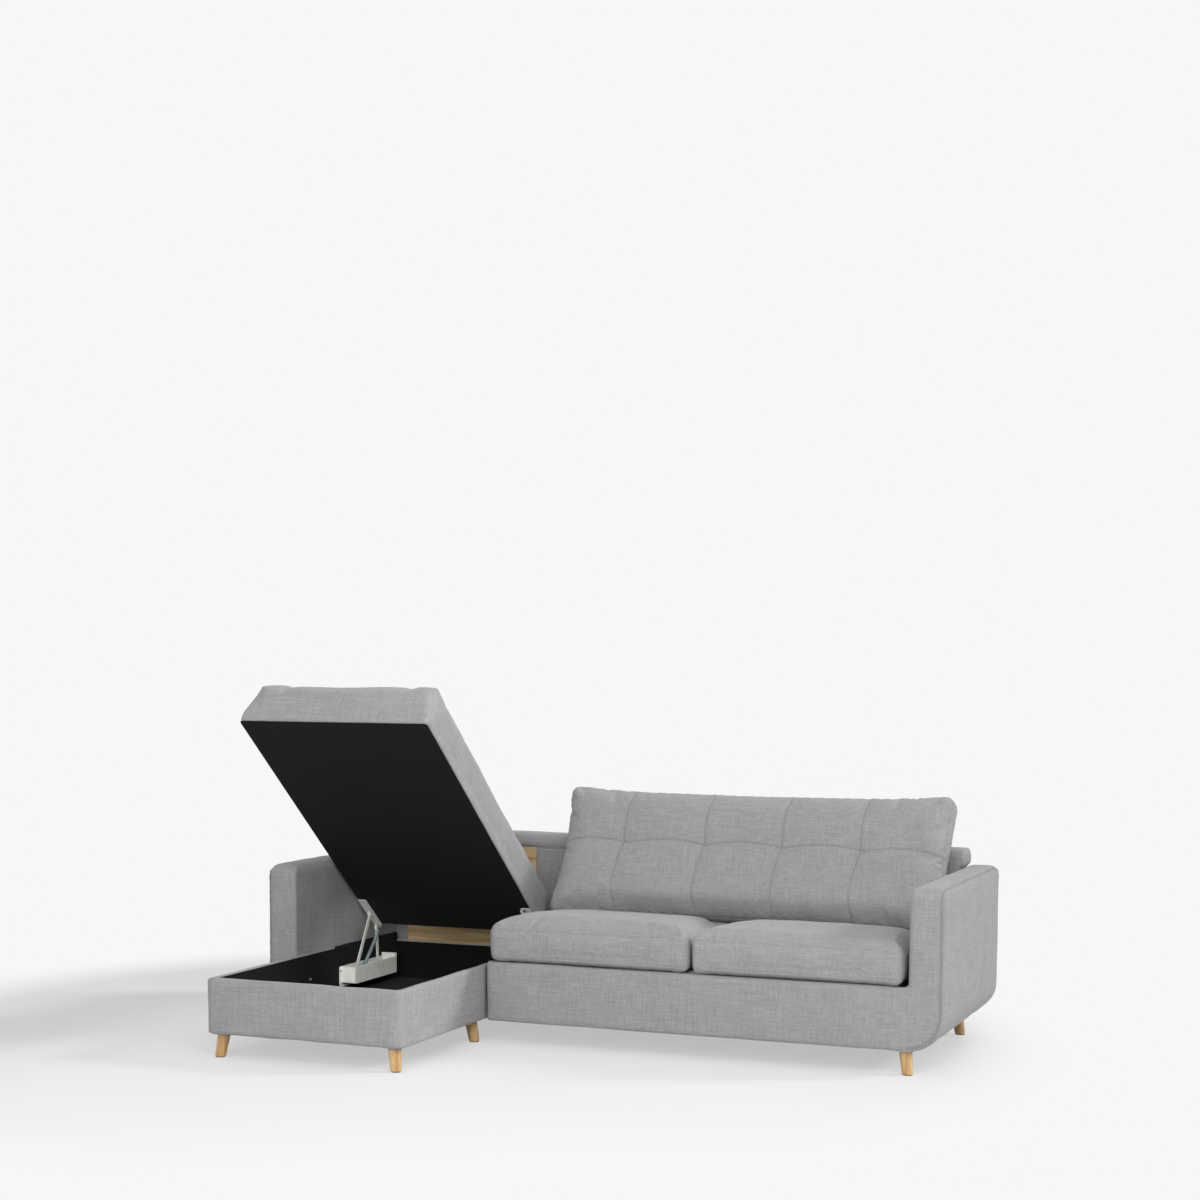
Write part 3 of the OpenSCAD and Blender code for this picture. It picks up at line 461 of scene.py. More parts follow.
def paint(name, dark, light, rough, metallic=0.0):
    """Coated or plated steel with faint orange peel and rubbed places."""
    s = Shader(name, rough, metallic)
    peel = s.noise(480.0, detail=2.0)
    rub = s.ramp(s.noise(22.0, detail=5.0, rough=0.7), 0.42, 0.66)
    s.color(s.mix(rub, srgb(dark), srgb(light)))
    s.wire(s.ramp(rub, 0, 1, rough + 0.14, rough - 0.04), s.bsdf.inputs["Roughness"])
    s.bump(peel, 0.12, 0.0002)
    return s.mat


def ticking(name):
    """Pale woven cover of the mattress."""
    s = Shader(name, 0.85, sheen=0.15)
    face = s.facing()
    weave = None
    for k in range(3):
        w = s.math("MULTIPLY", s.ramp(s.grain(620.0, 60.0, k, 1.0, 0.5), 0.3, 0.7, -1, 1), face[k])
        weave = w if weave is None else s.math("ADD", weave, w)
    level = s.math("MULTIPLY_ADD", weave, 0.25, 0.6)
    body = s.mix(level, srgb("#cfcbc0"), srgb("#ece9e1"))
    # Painted shade: along seams and quilting lines the cover darkens up to halfway toward #a9a498
    s.color(s.mix(s.math("MULTIPLY", s.attribute("seam"), 0.5), body, srgb("#a9a498")))
    s.bump(weave, 0.3, 0.0005)
    return s.mat


def rubber(name):
    s = Shader(name, 0.75)
    grain = s.noise(300.0, detail=3.0)
    s.color(s.mix(grain, srgb("#101010"), srgb("#1e1e1e")))
    s.bump(grain, 0.2, 0.0003)
    return s.mat


MAT = {
    # The first colour of each linen is the painted shade of its seams and creases
    "upholstery": linen("upholstery_linen", srgb("#4a4a4a"), srgb("#808080"), srgb("#a2a2a2")),
    "cushion": linen("cushion_linen", srgb("#4a4a4a"), srgb("#818181"), srgb("#a3a3a3")),
    "lining": black_cloth("black_lining", "#0b0a0a", "#161414"),
    "dust": black_cloth("black_felt", "#0d0d0d", "#1d1d1d"),
    "oak": wood("oak", "#a9804e", "#d9b583", 2, 0.42),
    "board": wood("plain_board", "#a98c5f", "#d8c096", 0, 0.7),
    "panel": wood("panel_board", "#7b6444", "#a58b63", 1, 0.75),
    "slat": wood("beech_slats", "#b08f5f", "#dcc294", 0, 0.5),
    "floor": wood("floor_board", "#15120f", "#2a2520", 0, 0.85),
    "lift_steel": paint("painted_lift_steel", "#e2e2dd", "#f0f0ec", 0.36),
    "zinc": paint("zinc_steel", "#8fa0a8", "#c0cbd0", 0.34, 0.55),
    "bed_steel": paint("coated_bed_steel", "#2f3235", "#45494d", 0.42, 0.2),
    "mattress": ticking("mattress_ticking"),
    "rubber": rubber("black_rubber"),
}


def body_of(node):
    return NODES[node]["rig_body"]


def dress(obj, material, body="root", nodes=()):
    """Material, slot, replaced nodes, softness and body of a piece."""
    obj.data.materials.clear()
    obj.data.materials.append(MAT[material])
    smooth_shade(obj)
    if nodes:
        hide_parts(*nodes)
    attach(obj, body)


# Camera at the place the photograph was taken from, solved from its straight edges

PHOTO_PX, FOCAL_PX = 1200, 2067.5
CENTRE_PX = (597.4, 834.9)
SENSOR_MM = 36.0
CAMERA_AT = (2.614, -6.540, 1.296)
AZIMUTH, PITCH, ROLL = math.radians(21.85), math.radians(4.64), math.radians(0.32)


def set_camera():
    data = bpy.data.cameras.new("camera")
    cam = link("camera", data)
    look = Vector((-math.sin(AZIMUTH) * math.cos(PITCH), math.cos(AZIMUTH) * math.cos(PITCH),
                   -math.sin(PITCH)))
    cam.location = CAMERA_AT
    cam.rotation_mode = "QUATERNION"
    cam.rotation_quaternion = look.to_track_quat("-Z", "Y") @ Matrix.Rotation(ROLL, 3, "Z").to_quaternion()
    data.sensor_width = SENSOR_MM
    data.lens = FOCAL_PX / PHOTO_PX * SENSOR_MM
    data.shift_x = (PHOTO_PX / 2 - CENTRE_PX[0]) / PHOTO_PX
    data.shift_y = (CENTRE_PX[1] - PHOTO_PX / 2) / PHOTO_PX
    data.clip_end = 60
    scene.camera = cam


set_camera()

# Floor, backdrop and light

BACKDROP = srgb("#f7f7f7")
FLOOR_HALF, FLOOR_DROP = 30, 0.0005
FLOOR_GREY = 0.73
# The floor's shading gives way to the backdrop between these distances from a place left of the middle
FADE_FROM, FADE_TO, FADE_LEFT = 1.5, 2.3, 0.7
# Under the object the floor keeps a share of the backdrop's tone, or its shadow would fall too deep;
# less of it at the left, where the photograph's shadow is deep
PALE_LEFT, PALE = 0.22, 0.52
PALE_FROM, PALE_TO = -2.0, -1.2
WORLD_FILL = 0.42
# Place, target, size and power of each softbox
SOFTBOXES = {
    "key": ((3.2, -4.2, 4.2), (0.0, 0.0, 0.3), (2.6, 2.6), 145),
    "top": ((0.2, -0.6, 4.6), (0.1, -0.1, 0.3), (4.5, 3.0), 24),
    "rear": ((0.6, 2.6, 4.2), (0.2, 0.0, 0.4), (3.5, 2.0), 12),
    "front": ((0.7, -5.8, 2.2), (0.2, 0.0, 0.4), (3.0, 2.4), 124),
}


def combined(tree, operation, a, b):
    node = tree.nodes.new("ShaderNodeMath")
    node.operation = operation
    tree.links.new(a, node.inputs[0])
    tree.links.new(b, node.inputs[1])
    return node.outputs[0]


def eased_range(tree, value, lo, hi, out_lo=0.0, out_hi=1.0):
    node = tree.nodes.new("ShaderNodeMapRange")
    node.interpolation_type = "SMOOTHSTEP"
    node.inputs["From Min"].default_value = lo
    node.inputs["From Max"].default_value = hi
    node.inputs["To Min"].default_value = out_lo
    node.inputs["To Max"].default_value = out_hi
    tree.links.new(value, node.inputs["Value"])
    return node.outputs[0]


def straight_view(tree):
    """One for camera, glossy and transmission rays, which see the plain background."""
    path = tree.nodes.new("ShaderNodeLightPath")
    value = path.outputs["Is Camera Ray"]
    for name in ("Is Glossy Ray", "Is Transmission Ray"):
        value = combined(tree, "MAXIMUM", value, path.outputs[name])
    return value


def blend_into(tree, share, a, b, out):
    """Sends the blend of two shaders, share being that of the second, to the output."""
    blend = tree.nodes.new("ShaderNodeMixShader")
    tree.links.new(share, blend.inputs[0])
    tree.links.new(a, blend.inputs[1])
    tree.links.new(b, blend.inputs[2])
    tree.links.new(blend.outputs[0], out.inputs[0])


def lay_floor():
    r = FLOOR_HALF
    floor = mesh_from("floor", [(-r, -r, 0), (r, -r, 0), (r, r, 0), (-r, r, 0)], [(0, 1, 2, 3)])
    floor.location.z = -FLOOR_DROP
    mat = bpy.data.materials.new("floor_pale")
    mat.use_nodes = True
    tree = mat.node_tree
    tree.nodes.remove(tree.nodes["Principled BSDF"])
    coord = tree.nodes.new("ShaderNodeTexCoord").outputs["Object"]
    shift = tree.nodes.new("ShaderNodeVectorMath")
    shift.inputs[1].default_value = (FADE_LEFT, 0, 0)
    tree.links.new(coord, shift.inputs[0])
    away = tree.nodes.new("ShaderNodeVectorMath")
    away.operation = "LENGTH"
    tree.links.new(shift.outputs["Vector"], away.inputs[0])
    fade = eased_range(tree, away.outputs["Value"], FADE_FROM, FADE_TO)
    across = tree.nodes.new("ShaderNodeSeparateXYZ")
    tree.links.new(coord, across.inputs[0])
    pale = eased_range(tree, across.outputs["X"], PALE_FROM, PALE_TO, PALE_LEFT, PALE)
    share = combined(tree, "MULTIPLY", straight_view(tree), combined(tree, "MAXIMUM", fade, pale))
    matt = tree.nodes.new("ShaderNodeBsdfDiffuse")
    matt.inputs["Color"].default_value = (FLOOR_GREY, FLOOR_GREY, FLOOR_GREY, 1)
    glow = tree.nodes.new("ShaderNodeEmission")
    glow.inputs["Color"].default_value = BACKDROP
    blend_into(tree, share, matt.outputs[0], glow.outputs[0], tree.nodes["Material Output"])
    floor.data.materials.append(mat)


def set_world():
    world = bpy.data.worlds.new("studio")
    scene.world = world
    world.use_nodes = True
    tree = world.node_tree
    fill = tree.nodes["Background"]
    fill.inputs["Color"].default_value = (1, 1, 1, 1)
    fill.inputs["Strength"].default_value = WORLD_FILL
    shown = tree.nodes.new("ShaderNodeBackground")
    shown.inputs["Color"].default_value = BACKDROP
    blend_into(tree, straight_view(tree), fill.outputs[0], shown.outputs[0], tree.nodes["World Output"])


def lamp(name, kind, place, target, power):
    light = bpy.data.lights.new(name, kind)
    light.energy = power
    obj = link(name, light)
    obj.location = place
    obj.rotation_mode = "QUATERNION"
    obj.rotation_quaternion = (Vector(target) - Vector(place)).to_track_quat("-Z", "Y")
    return light


def set_lamps():
    for name, (place, target, size, power) in SOFTBOXES.items():
        light = lamp(name, "AREA", place, target, power)
        light.shape = "RECTANGLE"
        light.size, light.size_y = size
    # A low light from the right and behind casts the soft shadow at the left
    sun = lamp("side", "SUN", (0, 0, 0), (-0.80, -0.38, -0.44), 1.6)
    sun.angle = math.radians(11)
    # A narrow lamp reaches the lift under the open lid
    spot = lamp("under_lid", "SPOT", (-0.62, -0.55, 0.40), (-1.05, 0.28, 0.22), 6.5)
    spot.spot_size = math.radians(30)
    spot.spot_blend = 0.6
    spot.shadow_soft_size = 0.04


lay_floor()
set_world()
set_lamps()
scene.view_settings.view_transform = "Standard"

# Upholstered frame: arms, rail, back and storage box

COVER_WAVE, COVER_WAVE_LENGTH, COVER_SINK = 0.0012, 0.20, 0.0002
ARM_SEAM_IN = 0.013
BAND_SEAM_Z = back_hi.z - 0.052
# The back's band seam shows left of this place, where no cushion stands
BAND_SEAM_END = -0.36
# The box's inner faces are set right from this height over its bottom upward
INNER_FROM = 0.012
RIM_ROLL = 0.011


def cover(name, nodes, voxel, seed):
    """Evened copy of these CAD nodes with faint waves of the cloth."""
    obj = copy_of(name, *nodes)
    remesh(obj, voxel, 3)
    co, no = points(obj), normals(obj)
    shift = COVER_WAVE * ripple(co, COVER_WAVE_LENGTH, seed) - COVER_SINK
    put(obj, co + no * shift[:, None])
    return obj


def outer_offset(co, side):
    """Distance inside the arm's outline as seen from the front."""
    x = co[:, 0] * side
    off = HALF_W - x
    cx, cz = HALF_W - CORNER_R, FLOOR_GAP + CORNER_R
    low = (x > cx) & (co[:, 2] < cz)
    off[low] = CORNER_R - np.hypot(x[low] - cx, co[low, 2] - cz)
    return off


def arm_seam(obj, side, seed):
    """Seam along the outline of the arm's front and rear face."""
    co, no = points(obj), normals(obj)
    dist = np.abs(outer_offset(co, side) - ARM_SEAM_IN)
    dist[np.abs(no[:, 0]) > 0.93] = FAR
    dist[(no[:, 2] < -0.5)] = FAR
    dist[co[:, 0] * side < INNER_X - 0.01] = FAR
    # The seam's groove is also darkened with painted shade
    paint_seam_shade(obj, 0.8 * stitched(obj, dist, seed=seed))


def arm_cover(name, nodes, side, seed):
    obj = cover(name, nodes, 0.0075, seed)
    arm_seam(obj, side, seed + 1)
    dress(obj, "upholstery", nodes=nodes)


def back_cover():
    obj = cover("back_cover", ["back_frame"], 0.0085, 31)
    co = points(obj)
    dist = np.abs(co[:, 2] - BAND_SEAM_Z)
    dist[(co[:, 1] > BACK_Y - 0.1) | (co[:, 0] > BAND_SEAM_END)] = FAR
    # The seam's groove is also darkened with painted shade
    paint_seam_shade(obj, 0.8 * stitched(obj, dist, seed=32))
    dress(obj, "upholstery", nodes=["back_frame"])


def clear_inside(co, lo, hi, r, z0):
    """Points above z0 that stand inside a rounded rectangle are moved out to its outline.

    Points deeper inside than reach belong to something else and stay.
    """
    reach = 0.028
    mid, half = (lo + hi) / 2, (hi - lo) / 2
    q = np.abs(co[:, :2] - mid) - (half - r)
    sign = np.where(co[:, :2] >= mid, 1.0, -1.0)
    corner = (q > 0).all(1)
    far = np.hypot(np.maximum(q[:, 0], 0), np.maximum(q[:, 1], 0))
    depth = np.where(corner, r - far, r - q.max(1))
    push = np.zeros((len(co), 2))
    push[corner] = (q / np.maximum(np.hypot(q[:, 0], q[:, 1]), 1e-9)[:, None])[corner]
    plain = ~corner
    push[plain, q.argmax(1)[plain]] = 1.0
    move = (depth > 0) & (depth < reach) & (co[:, 2] > z0)
    out = co.copy()
    out[move, :2] += (push * sign * depth[:, None])[move]
    return out


def chaise_cover():
    # Plan radius of the inner corners at the front; behind, the cloth keeps back from the lining
    front_r, rear_r, rear_clear = 0.012, 0.001, 0.004
    obj = cover("chaise_cover", ["chaise_shell"], 0.007, 41)
    co = points(obj)
    lo = np.array([box_lo.x + WALL_T, box_lo.y + WALL_T])
    hi = np.array([box_hi.x - WALL_T, box_hi.y - WALL_BACK])
    z0 = FLOOR_GAP + INNER_FROM
    front = (co[:, 1] < (lo[1] + hi[1]) / 2)[:, None]
    co = np.where(front, clear_inside(co, lo, hi, front_r, z0),
                  clear_inside(co, lo - rear_clear, hi + rear_clear, rear_r, z0))
    # The rim rolls off to its outer side
    outward = np.clip(1 - (co[:, 0] - box_lo.x) / WALL_T, 0, 1) ** 1.6
    upward = np.clip((co[:, 2] - box_hi.z + 0.030) / 0.030, 0, 1)
    co[:, 2] -= RIM_ROLL * outward * upward
    put(obj, co)
    paint_seam_shade(obj, np.zeros(len(co)))
    dress(obj, "upholstery", nodes=["chaise_shell"])
    # Beside the arm, under the open lid, the wall's top takes the black lining as painted shade
    shaded_x, shaded_y, shaded_z = lo[0] + 0.004, FRONT_Y + 0.24, box_hi.z - 0.035
    obj.data.materials.append(MAT["lining"])
    for p in obj.data.polygons:
        c = p.center
        if c.x < shaded_x and c.y > shaded_y and c.z > shaded_z:
            p.material_index = 1


arm_cover("left_arm_cover", ["left_arm"], -1, 11)
arm_cover("right_arm_and_rail_cover", ["right_arm", "front_rail"], 1, 21)
back_cover()
chaise_cover()

# Cushions

# Before they swell, pads are drawn smaller than their place by one of these
SHY, SHY_MORE = 0.004, 0.006
# The cloth ends this far short of its solid's sides, or of what it leans on
CLOTH_GAP = 0.0004
SEAT_T = 0.146
SEAT_EDGE, SEAT_LOW_EDGE, SEAT_CORNER, SEAT_DRAW = 0.046, 0.020, 0.020, 0.003
SEAT_VOXEL, SEAT_SWELL, SEAT_ROOT = 0.0065, 0.018, 0.05
SEAT_WAVE, SEAT_WAVE_LENGTH = 0.0016, 0.16
# The cover may stand this far over the solid's top
SEAT_OVER = 0.006
SEAT_CROWN, SEAT_RISE, SEAT_PITCH = 0.010, 0.012, 0.085
# The seats' upper seam lies this far under the top, the lower one above the bottom
SEAT_SEAM_TOP, SEAT_SEAM_LOW = 0.034, 0.016
SEAM_W, SEAM_PUCKER = 0.0026, 0.0008
SEAM_TOP_DEPTH, SEAM_LOW_DEPTH = 0.0006, 0.0012
# Level on which the back cushion stands, and how far behind the arm's front it begins
CONTACT_LEFT, CONTACT_RIGHT = 0.405, 0.382
CONTACT_SPAN, CONTACT_Y = 1.43, 0.440
CONTACT_GAP = 0.0007
# Before that place the seats are let free again, over this run and up to this height
CONTACT_RUN, CONTACT_FREE = 0.05, 0.05


def crown(co, w, d, t, top, low=0.0):
    """Rise of both faces in the middle, nothing at the edges."""
    u = np.clip(2 * co[:, 0] / w, -1, 1)
    v = np.clip(2 * co[:, 1] / d, -1, 1)
    middle = (1 - u ** 4) * (1 - v ** 4)
    share = np.clip(co[:, 2] / t, 0, 1)
    out = co.copy()
    out[:, 2] += middle * (top * share ** 2 - low * (1 - share) ** 2)
    return out


def ease_corners(co, w, d, low, high, t):
    """Plan corners of radius low at the bottom that grow to high at the top."""
    r = low + (high - low) * eased(np.clip(co[:, 2] / t, 0, 1))
    q = [np.abs(co[:, 0]) - (w / 2 - r), np.abs(co[:, 1]) - (d / 2 - r)]
    far = np.hypot(np.maximum(q[0], 0), np.maximum(q[1], 0))
    beyond = (q[0] > 0) & (q[1] > 0) & (far > r)
    scale = np.where(beyond, r / np.maximum(far, 1e-9), 1.0)
    out = co.copy()
    for k in (0, 1):
        moved = np.sign(co[:, k]) * (np.abs(co[:, k]) - q[k] * (1 - scale))
        out[:, k] = np.where(beyond, moved, co[:, k])
    return out


def boxing(rest, z, w, d, band=0.03):
    """Distance to a seam that runs round the pad at height z."""
    dist = np.abs(rest[:, 2] - z)
    inside = (np.abs(rest[:, 0]) < w / 2 - band) & (np.abs(rest[:, 1]) < d / 2 - band)
    dist[inside] = FAR
    return dist


def contact(x):
    """Level of the seats under the back cushion, which falls to the right."""
    share = np.clip((x - rest_lo.x) / CONTACT_SPAN, 0, 1)
    return CONTACT_LEFT + (CONTACT_RIGHT - CONTACT_LEFT) * share


def seat_cushion(name, node, seed, free=0.0):
    """Box cushion; its left end stands free and may bulge that far over the solid."""
    lo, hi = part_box(node)
    mid_x, mid_y = (lo.x + hi.x) / 2, (lo.y + hi.y) / 2
    w, d, t = hi.x - lo.x - SHY, hi.y - lo.y - SHY_MORE, SEAT_T
    obj = pad_mesh(name, w, d, t - SHY, SEAT_CORNER, SEAT_EDGE, SEAT_DRAW, SEAT_LOW_EDGE)
    remesh(obj, SEAT_VOXEL, 2)
    put(obj, crown(points(obj), w, d, t, SEAT_CROWN))
    rest = points(obj)
    swell(obj, SEAT_SWELL, SEAT_ROOT)
    rest = subdivide_with(obj, rest)
    co = points(obj)
    # The top rises from its front edge and falls to the rear, where the back cushion presses on it
    top = np.clip(co[:, 2] / t, 0, 1) ** 2
    u, v = np.clip(2 * co[:, 0] / w, -1, 1), np.clip(2 * co[:, 1] / d, -1, 1)
    rise = SEAT_RISE * (1 - np.abs(v) ** 2.5) * (1 - u ** 6)
    co[:, 2] += top * (rise - SEAT_PITCH * (co[:, 1] + d / 2))
    co[:, 2] += SEAT_WAVE * ripple(co, SEAT_WAVE_LENGTH, seed) * top
    half = ((hi.x - lo.x) / 2 - CLOTH_GAP, (hi.y - lo.y) / 2 - CLOTH_GAP)
    co[:, 0] -= free * np.clip(-u, 0, 1) ** 6
    co[:, 0] = soft_limit(co[:, 0], -half[0] - free, half[0])
    co[:, 1] = soft_limit(co[:, 1], -half[1], half[1])
    ahead = np.clip((CONTACT_Y - (mid_y + co[:, 1] - FRONT_Y)) / CONTACT_RUN, 0, 1)
    cap = contact(mid_x + co[:, 0]) - CONTACT_GAP - lo.z + CONTACT_FREE * ahead ** 2
    co[:, 2] = soft_limit(co[:, 2], -NO_LIMIT, cap)
    co[:, 2] = soft_limit(co[:, 2], 0.0, hi.z - lo.z + SEAT_OVER, TIGHT_KNEE)
    put(obj, co)
    upper, lower = boxing(rest, t - SEAT_SEAM_TOP, w, d), boxing(rest, SEAT_SEAM_LOW, w, d)
    line = stitched(obj, upper, SEAM_W, SEAM_TOP_DEPTH, SEAM_PUCKER, seed)
    lower = stitched(obj, lower, SEAM_W, SEAM_LOW_DEPTH, SEAM_PUCKER, seed + 1)
    # Both boxing seams get a light painted shade in their grooves
    paint_seam_shade(obj, 0.25 * np.maximum(line, lower))
    co = points(obj)
    co[:, 2] = np.maximum(co[:, 2], 0.0)
    put(obj, co)
    obj.location = (mid_x, mid_y, lo.z + 0.0003)
    dress(obj, "cushion", body_of(node), [node])


seat_cushion("left_seat_cushion", "seat_cushion_left", 51, free=0.012)
seat_cushion("right_seat_cushion", "seat_cushion_right", 61)

# Back cushion, drawn lying and set up against the back

# The cover hangs a little lower than the solid, down to the seat
BACK_DROP = 0.030
BACK_H = 0.460 + BACK_DROP
# The front edge of its foot stands this far before the back's face
BACK_FOOT = 0.262
BACK_EDGE, BACK_CORNER, BACK_DRAW = 0.044, 0.034, 0.005
BACK_CROWN, BACK_REAR_CROWN = 0.026, 0.006
BACK_VOXEL, BACK_SWELL = 0.0075, 0.024
BACK_WAVE, BACK_WAVE_LENGTH = 0.0020, 0.13
SEW_COLS = 5
# Height of the level seam above the middle, as a share of half the height
SEW_ROW = 0.08
# Each upright seam's place beside an even division, left to right
SEW_SHIFT = (-0.022, -0.006, -0.010, -0.018)
SEW_ARCH = 0.013
# The upright seams bow to the right at the top and to the left below the level seam
BOW_TOP, BOW_UPPER, BOW_LOWER, BOW_FOOT = 0.010, 0.005, 0.016, 0.004
# Depth and reach of what the seams draw in: upright, level, where they cross, and the stitches
UPRIGHT_DEPTH, UPRIGHT_REACH = 0.0070, 0.050
LEVEL_DEPTH, LEVEL_REACH = 0.0060, 0.045
KNOT_DEPTH, KNOT_REACH = 0.0075, 0.030
CREASE_DEPTH, CREASE_W = 0.0024, 0.0030
# Small folds about the crossings
FOLD, FOLD_LENGTH = 0.0012, 0.05
# The lower front edge bulges over the seats, and the lower left corner to the side
FRONT_BULGE, FRONT_AT, FRONT_SPAN = 0.016, 0.07, 0.07
SIDE_BULGE, SIDE_AT, SIDE_SPAN = 0.012, 0.06, 0.12
BACK_OVER_LEFT, BACK_OVER_RIGHT = 0.014, 0.012
# Its boxing seams lie this far under the front face, and above the rear one
BACK_SEAM_FRONT, BACK_SEAM_REAR = 0.030, 0.026


def sewn(x, y):
    """Distances to the upright seams and to the level seam of the back cushion's face."""
    row = SEW_ROW * BACK_H / 2
    upper = np.clip((y - row) / (BACK_H / 2 - row), 0, 1)
    lower = np.clip((row - y) / (BACK_H / 2 + row), 0, 1)
    bow = BOW_TOP * upper - BOW_UPPER * np.sin(math.pi * upper)
    bow = bow - BOW_LOWER * np.sin(math.pi * lower) - BOW_FOOT * lower
    near = np.full(len(x), FAR)
    for k in range(1, SEW_COLS):
        line = (2 * k / SEW_COLS - 1) * BACK_W / 2 + SEW_SHIFT[k - 1]
        near = np.minimum(near, np.abs(x - line - bow))
    cell = (x / BACK_W + 0.5) * SEW_COLS
    arch = SEW_ARCH * np.abs(np.sin(math.pi * cell))
    return near, np.abs(y - row - arch)


def set_up(obj):
    """Leans the cushion on the back and keeps it off the seats and the back's face."""
    place = (Matrix.Translation(((rest_lo.x + rest_hi.x) / 2, BACK_FACE - BACK_FOOT, rest_lo.z - 0.006))
             @ Matrix.Rotation(math.pi / 2 - BACK_LEAN, 4, "X")
             @ Matrix.Translation((0, BACK_H / 2 - BACK_DROP, -BACK_T)))
    there = np.array(place)
    back = np.linalg.inv(there)
    co = points(obj) @ there[:3, :3].T + there[:3, 3]
    co[:, 2] = soft_limit(co[:, 2], contact(co[:, 0]), NO_LIMIT, TIGHT_KNEE)
    co[:, 1] = soft_limit(co[:, 1], -NO_LIMIT, BACK_FACE - CLOTH_GAP, TIGHT_KNEE)
    put(obj, co @ back[:3, :3].T + back[:3, 3])
    obj.matrix_world = place


def back_cushion():
    obj = pad_mesh("wide_back_cushion", BACK_W - SHY_MORE, BACK_H - SHY, BACK_T - SHY,
                   BACK_CORNER, BACK_EDGE, BACK_DRAW)
    remesh(obj, BACK_VOXEL, 2)
    rest = points(obj)
    put(obj, crown(rest, BACK_W, BACK_H, BACK_T, BACK_CROWN, BACK_REAR_CROWN))
    swell(obj, BACK_SWELL)
    rest = subdivide_with(obj, rest)
    co = points(obj)
    u, v = 2 * rest[:, 0] / BACK_W, 2 * rest[:, 1] / BACK_H
    above_foot = rest[:, 1] + BACK_H / 2
    near, across = sewn(rest[:, 0], rest[:, 1])
    face = np.clip((rest[:, 2] / BACK_T - 0.55) / 0.3, 0, 1)
    sides = np.clip((1 - np.abs(u)) * 10, 0, 1)
    ends = np.clip((1 - np.abs(v)) * 5, 0, 1)
    # The seams draw the face in, most where they cross
    knot = np.exp(-np.hypot(near, across) / KNOT_REACH)
    draw_in = (UPRIGHT_DEPTH * np.exp(-near / UPRIGHT_REACH) * ends
               + LEVEL_DEPTH * np.exp(-across / LEVEL_REACH) * sides)
    crease = np.maximum(np.exp(-(near / CREASE_W) ** 2) * np.clip(ends * 2, 0, 1),
                        np.exp(-(across / CREASE_W) ** 2) * sides)
    co[:, 2] -= face * (draw_in + KNOT_DEPTH * knot + CREASE_DEPTH * crease)
    co[:, 2] += FRONT_BULGE * np.exp(-((above_foot - FRONT_AT) / FRONT_SPAN) ** 2) * face
    co[:, 2] += (BACK_WAVE * ripple(co, BACK_WAVE_LENGTH, 71) * face
                 + FOLD * ripple(co, FOLD_LENGTH, 72) * face * knot)
    to_side = np.exp(-((above_foot - SIDE_AT) / SIDE_SPAN) ** 2)
    co[:, 0] -= SIDE_BULGE * np.clip(-u, 0, 1) ** 8 * to_side
    co[:, 0] = soft_limit(co[:, 0], -BACK_W / 2 - BACK_OVER_LEFT, BACK_W / 2 + BACK_OVER_RIGHT)
    put(obj, co)
    ring = np.minimum(boxing(rest, BACK_T - BACK_SEAM_FRONT, BACK_W, BACK_H),
                      boxing(rest, BACK_SEAM_REAR, BACK_W, BACK_H))
    line = stitched(obj, ring, 0.0030, 0.0022, 0.0016, 73)
    # Painted shade in the boxing seam and in the creases along the sewn seams
    paint_seam_shade(obj, np.maximum(line * 0.5, face * crease * 0.55))
    set_up(obj)
    dress(obj, "cushion", body_of("back_cushion"), ["back_cushion"])


back_cushion()

# Storage lid, drawn shut and turned open with its own frame

LINING_T = 0.0015
PAD_Z, PAD_T = LID_Z + LINING_T, LID_T - LINING_T
PAD_EDGE, PAD_LOW_EDGE, PAD_DRAW = 0.044, 0.005, 0.001
PAD_PLAN_R, PAD_CORNER, PAD_CORNER_TOP = 0.022, 0.020, 0.085
PAD_VOXEL, PAD_SWELL, PAD_ROOT = 0.0075, 0.018, 0.06
PAD_WAVE, PAD_TOP_LENGTH, PAD_SIDE_LENGTH = 0.0022, 0.22, 0.16
PAD_CROWN, PAD_RISE, PAD_CORNER_DROP = 0.010, 0.017, 0.014
FLANK_WAVE, FLANK_WAVE_LENGTH, FLANK_PHASE = 0.0045, 0.52, 1.2
PAD_OVER, PAD_SIDE_GAP = 0.012, 0.0005
# Up to this height the underside stays flat, give or take
PAD_FLAT, PAD_FLAT_GAP = 0.012, 0.0006


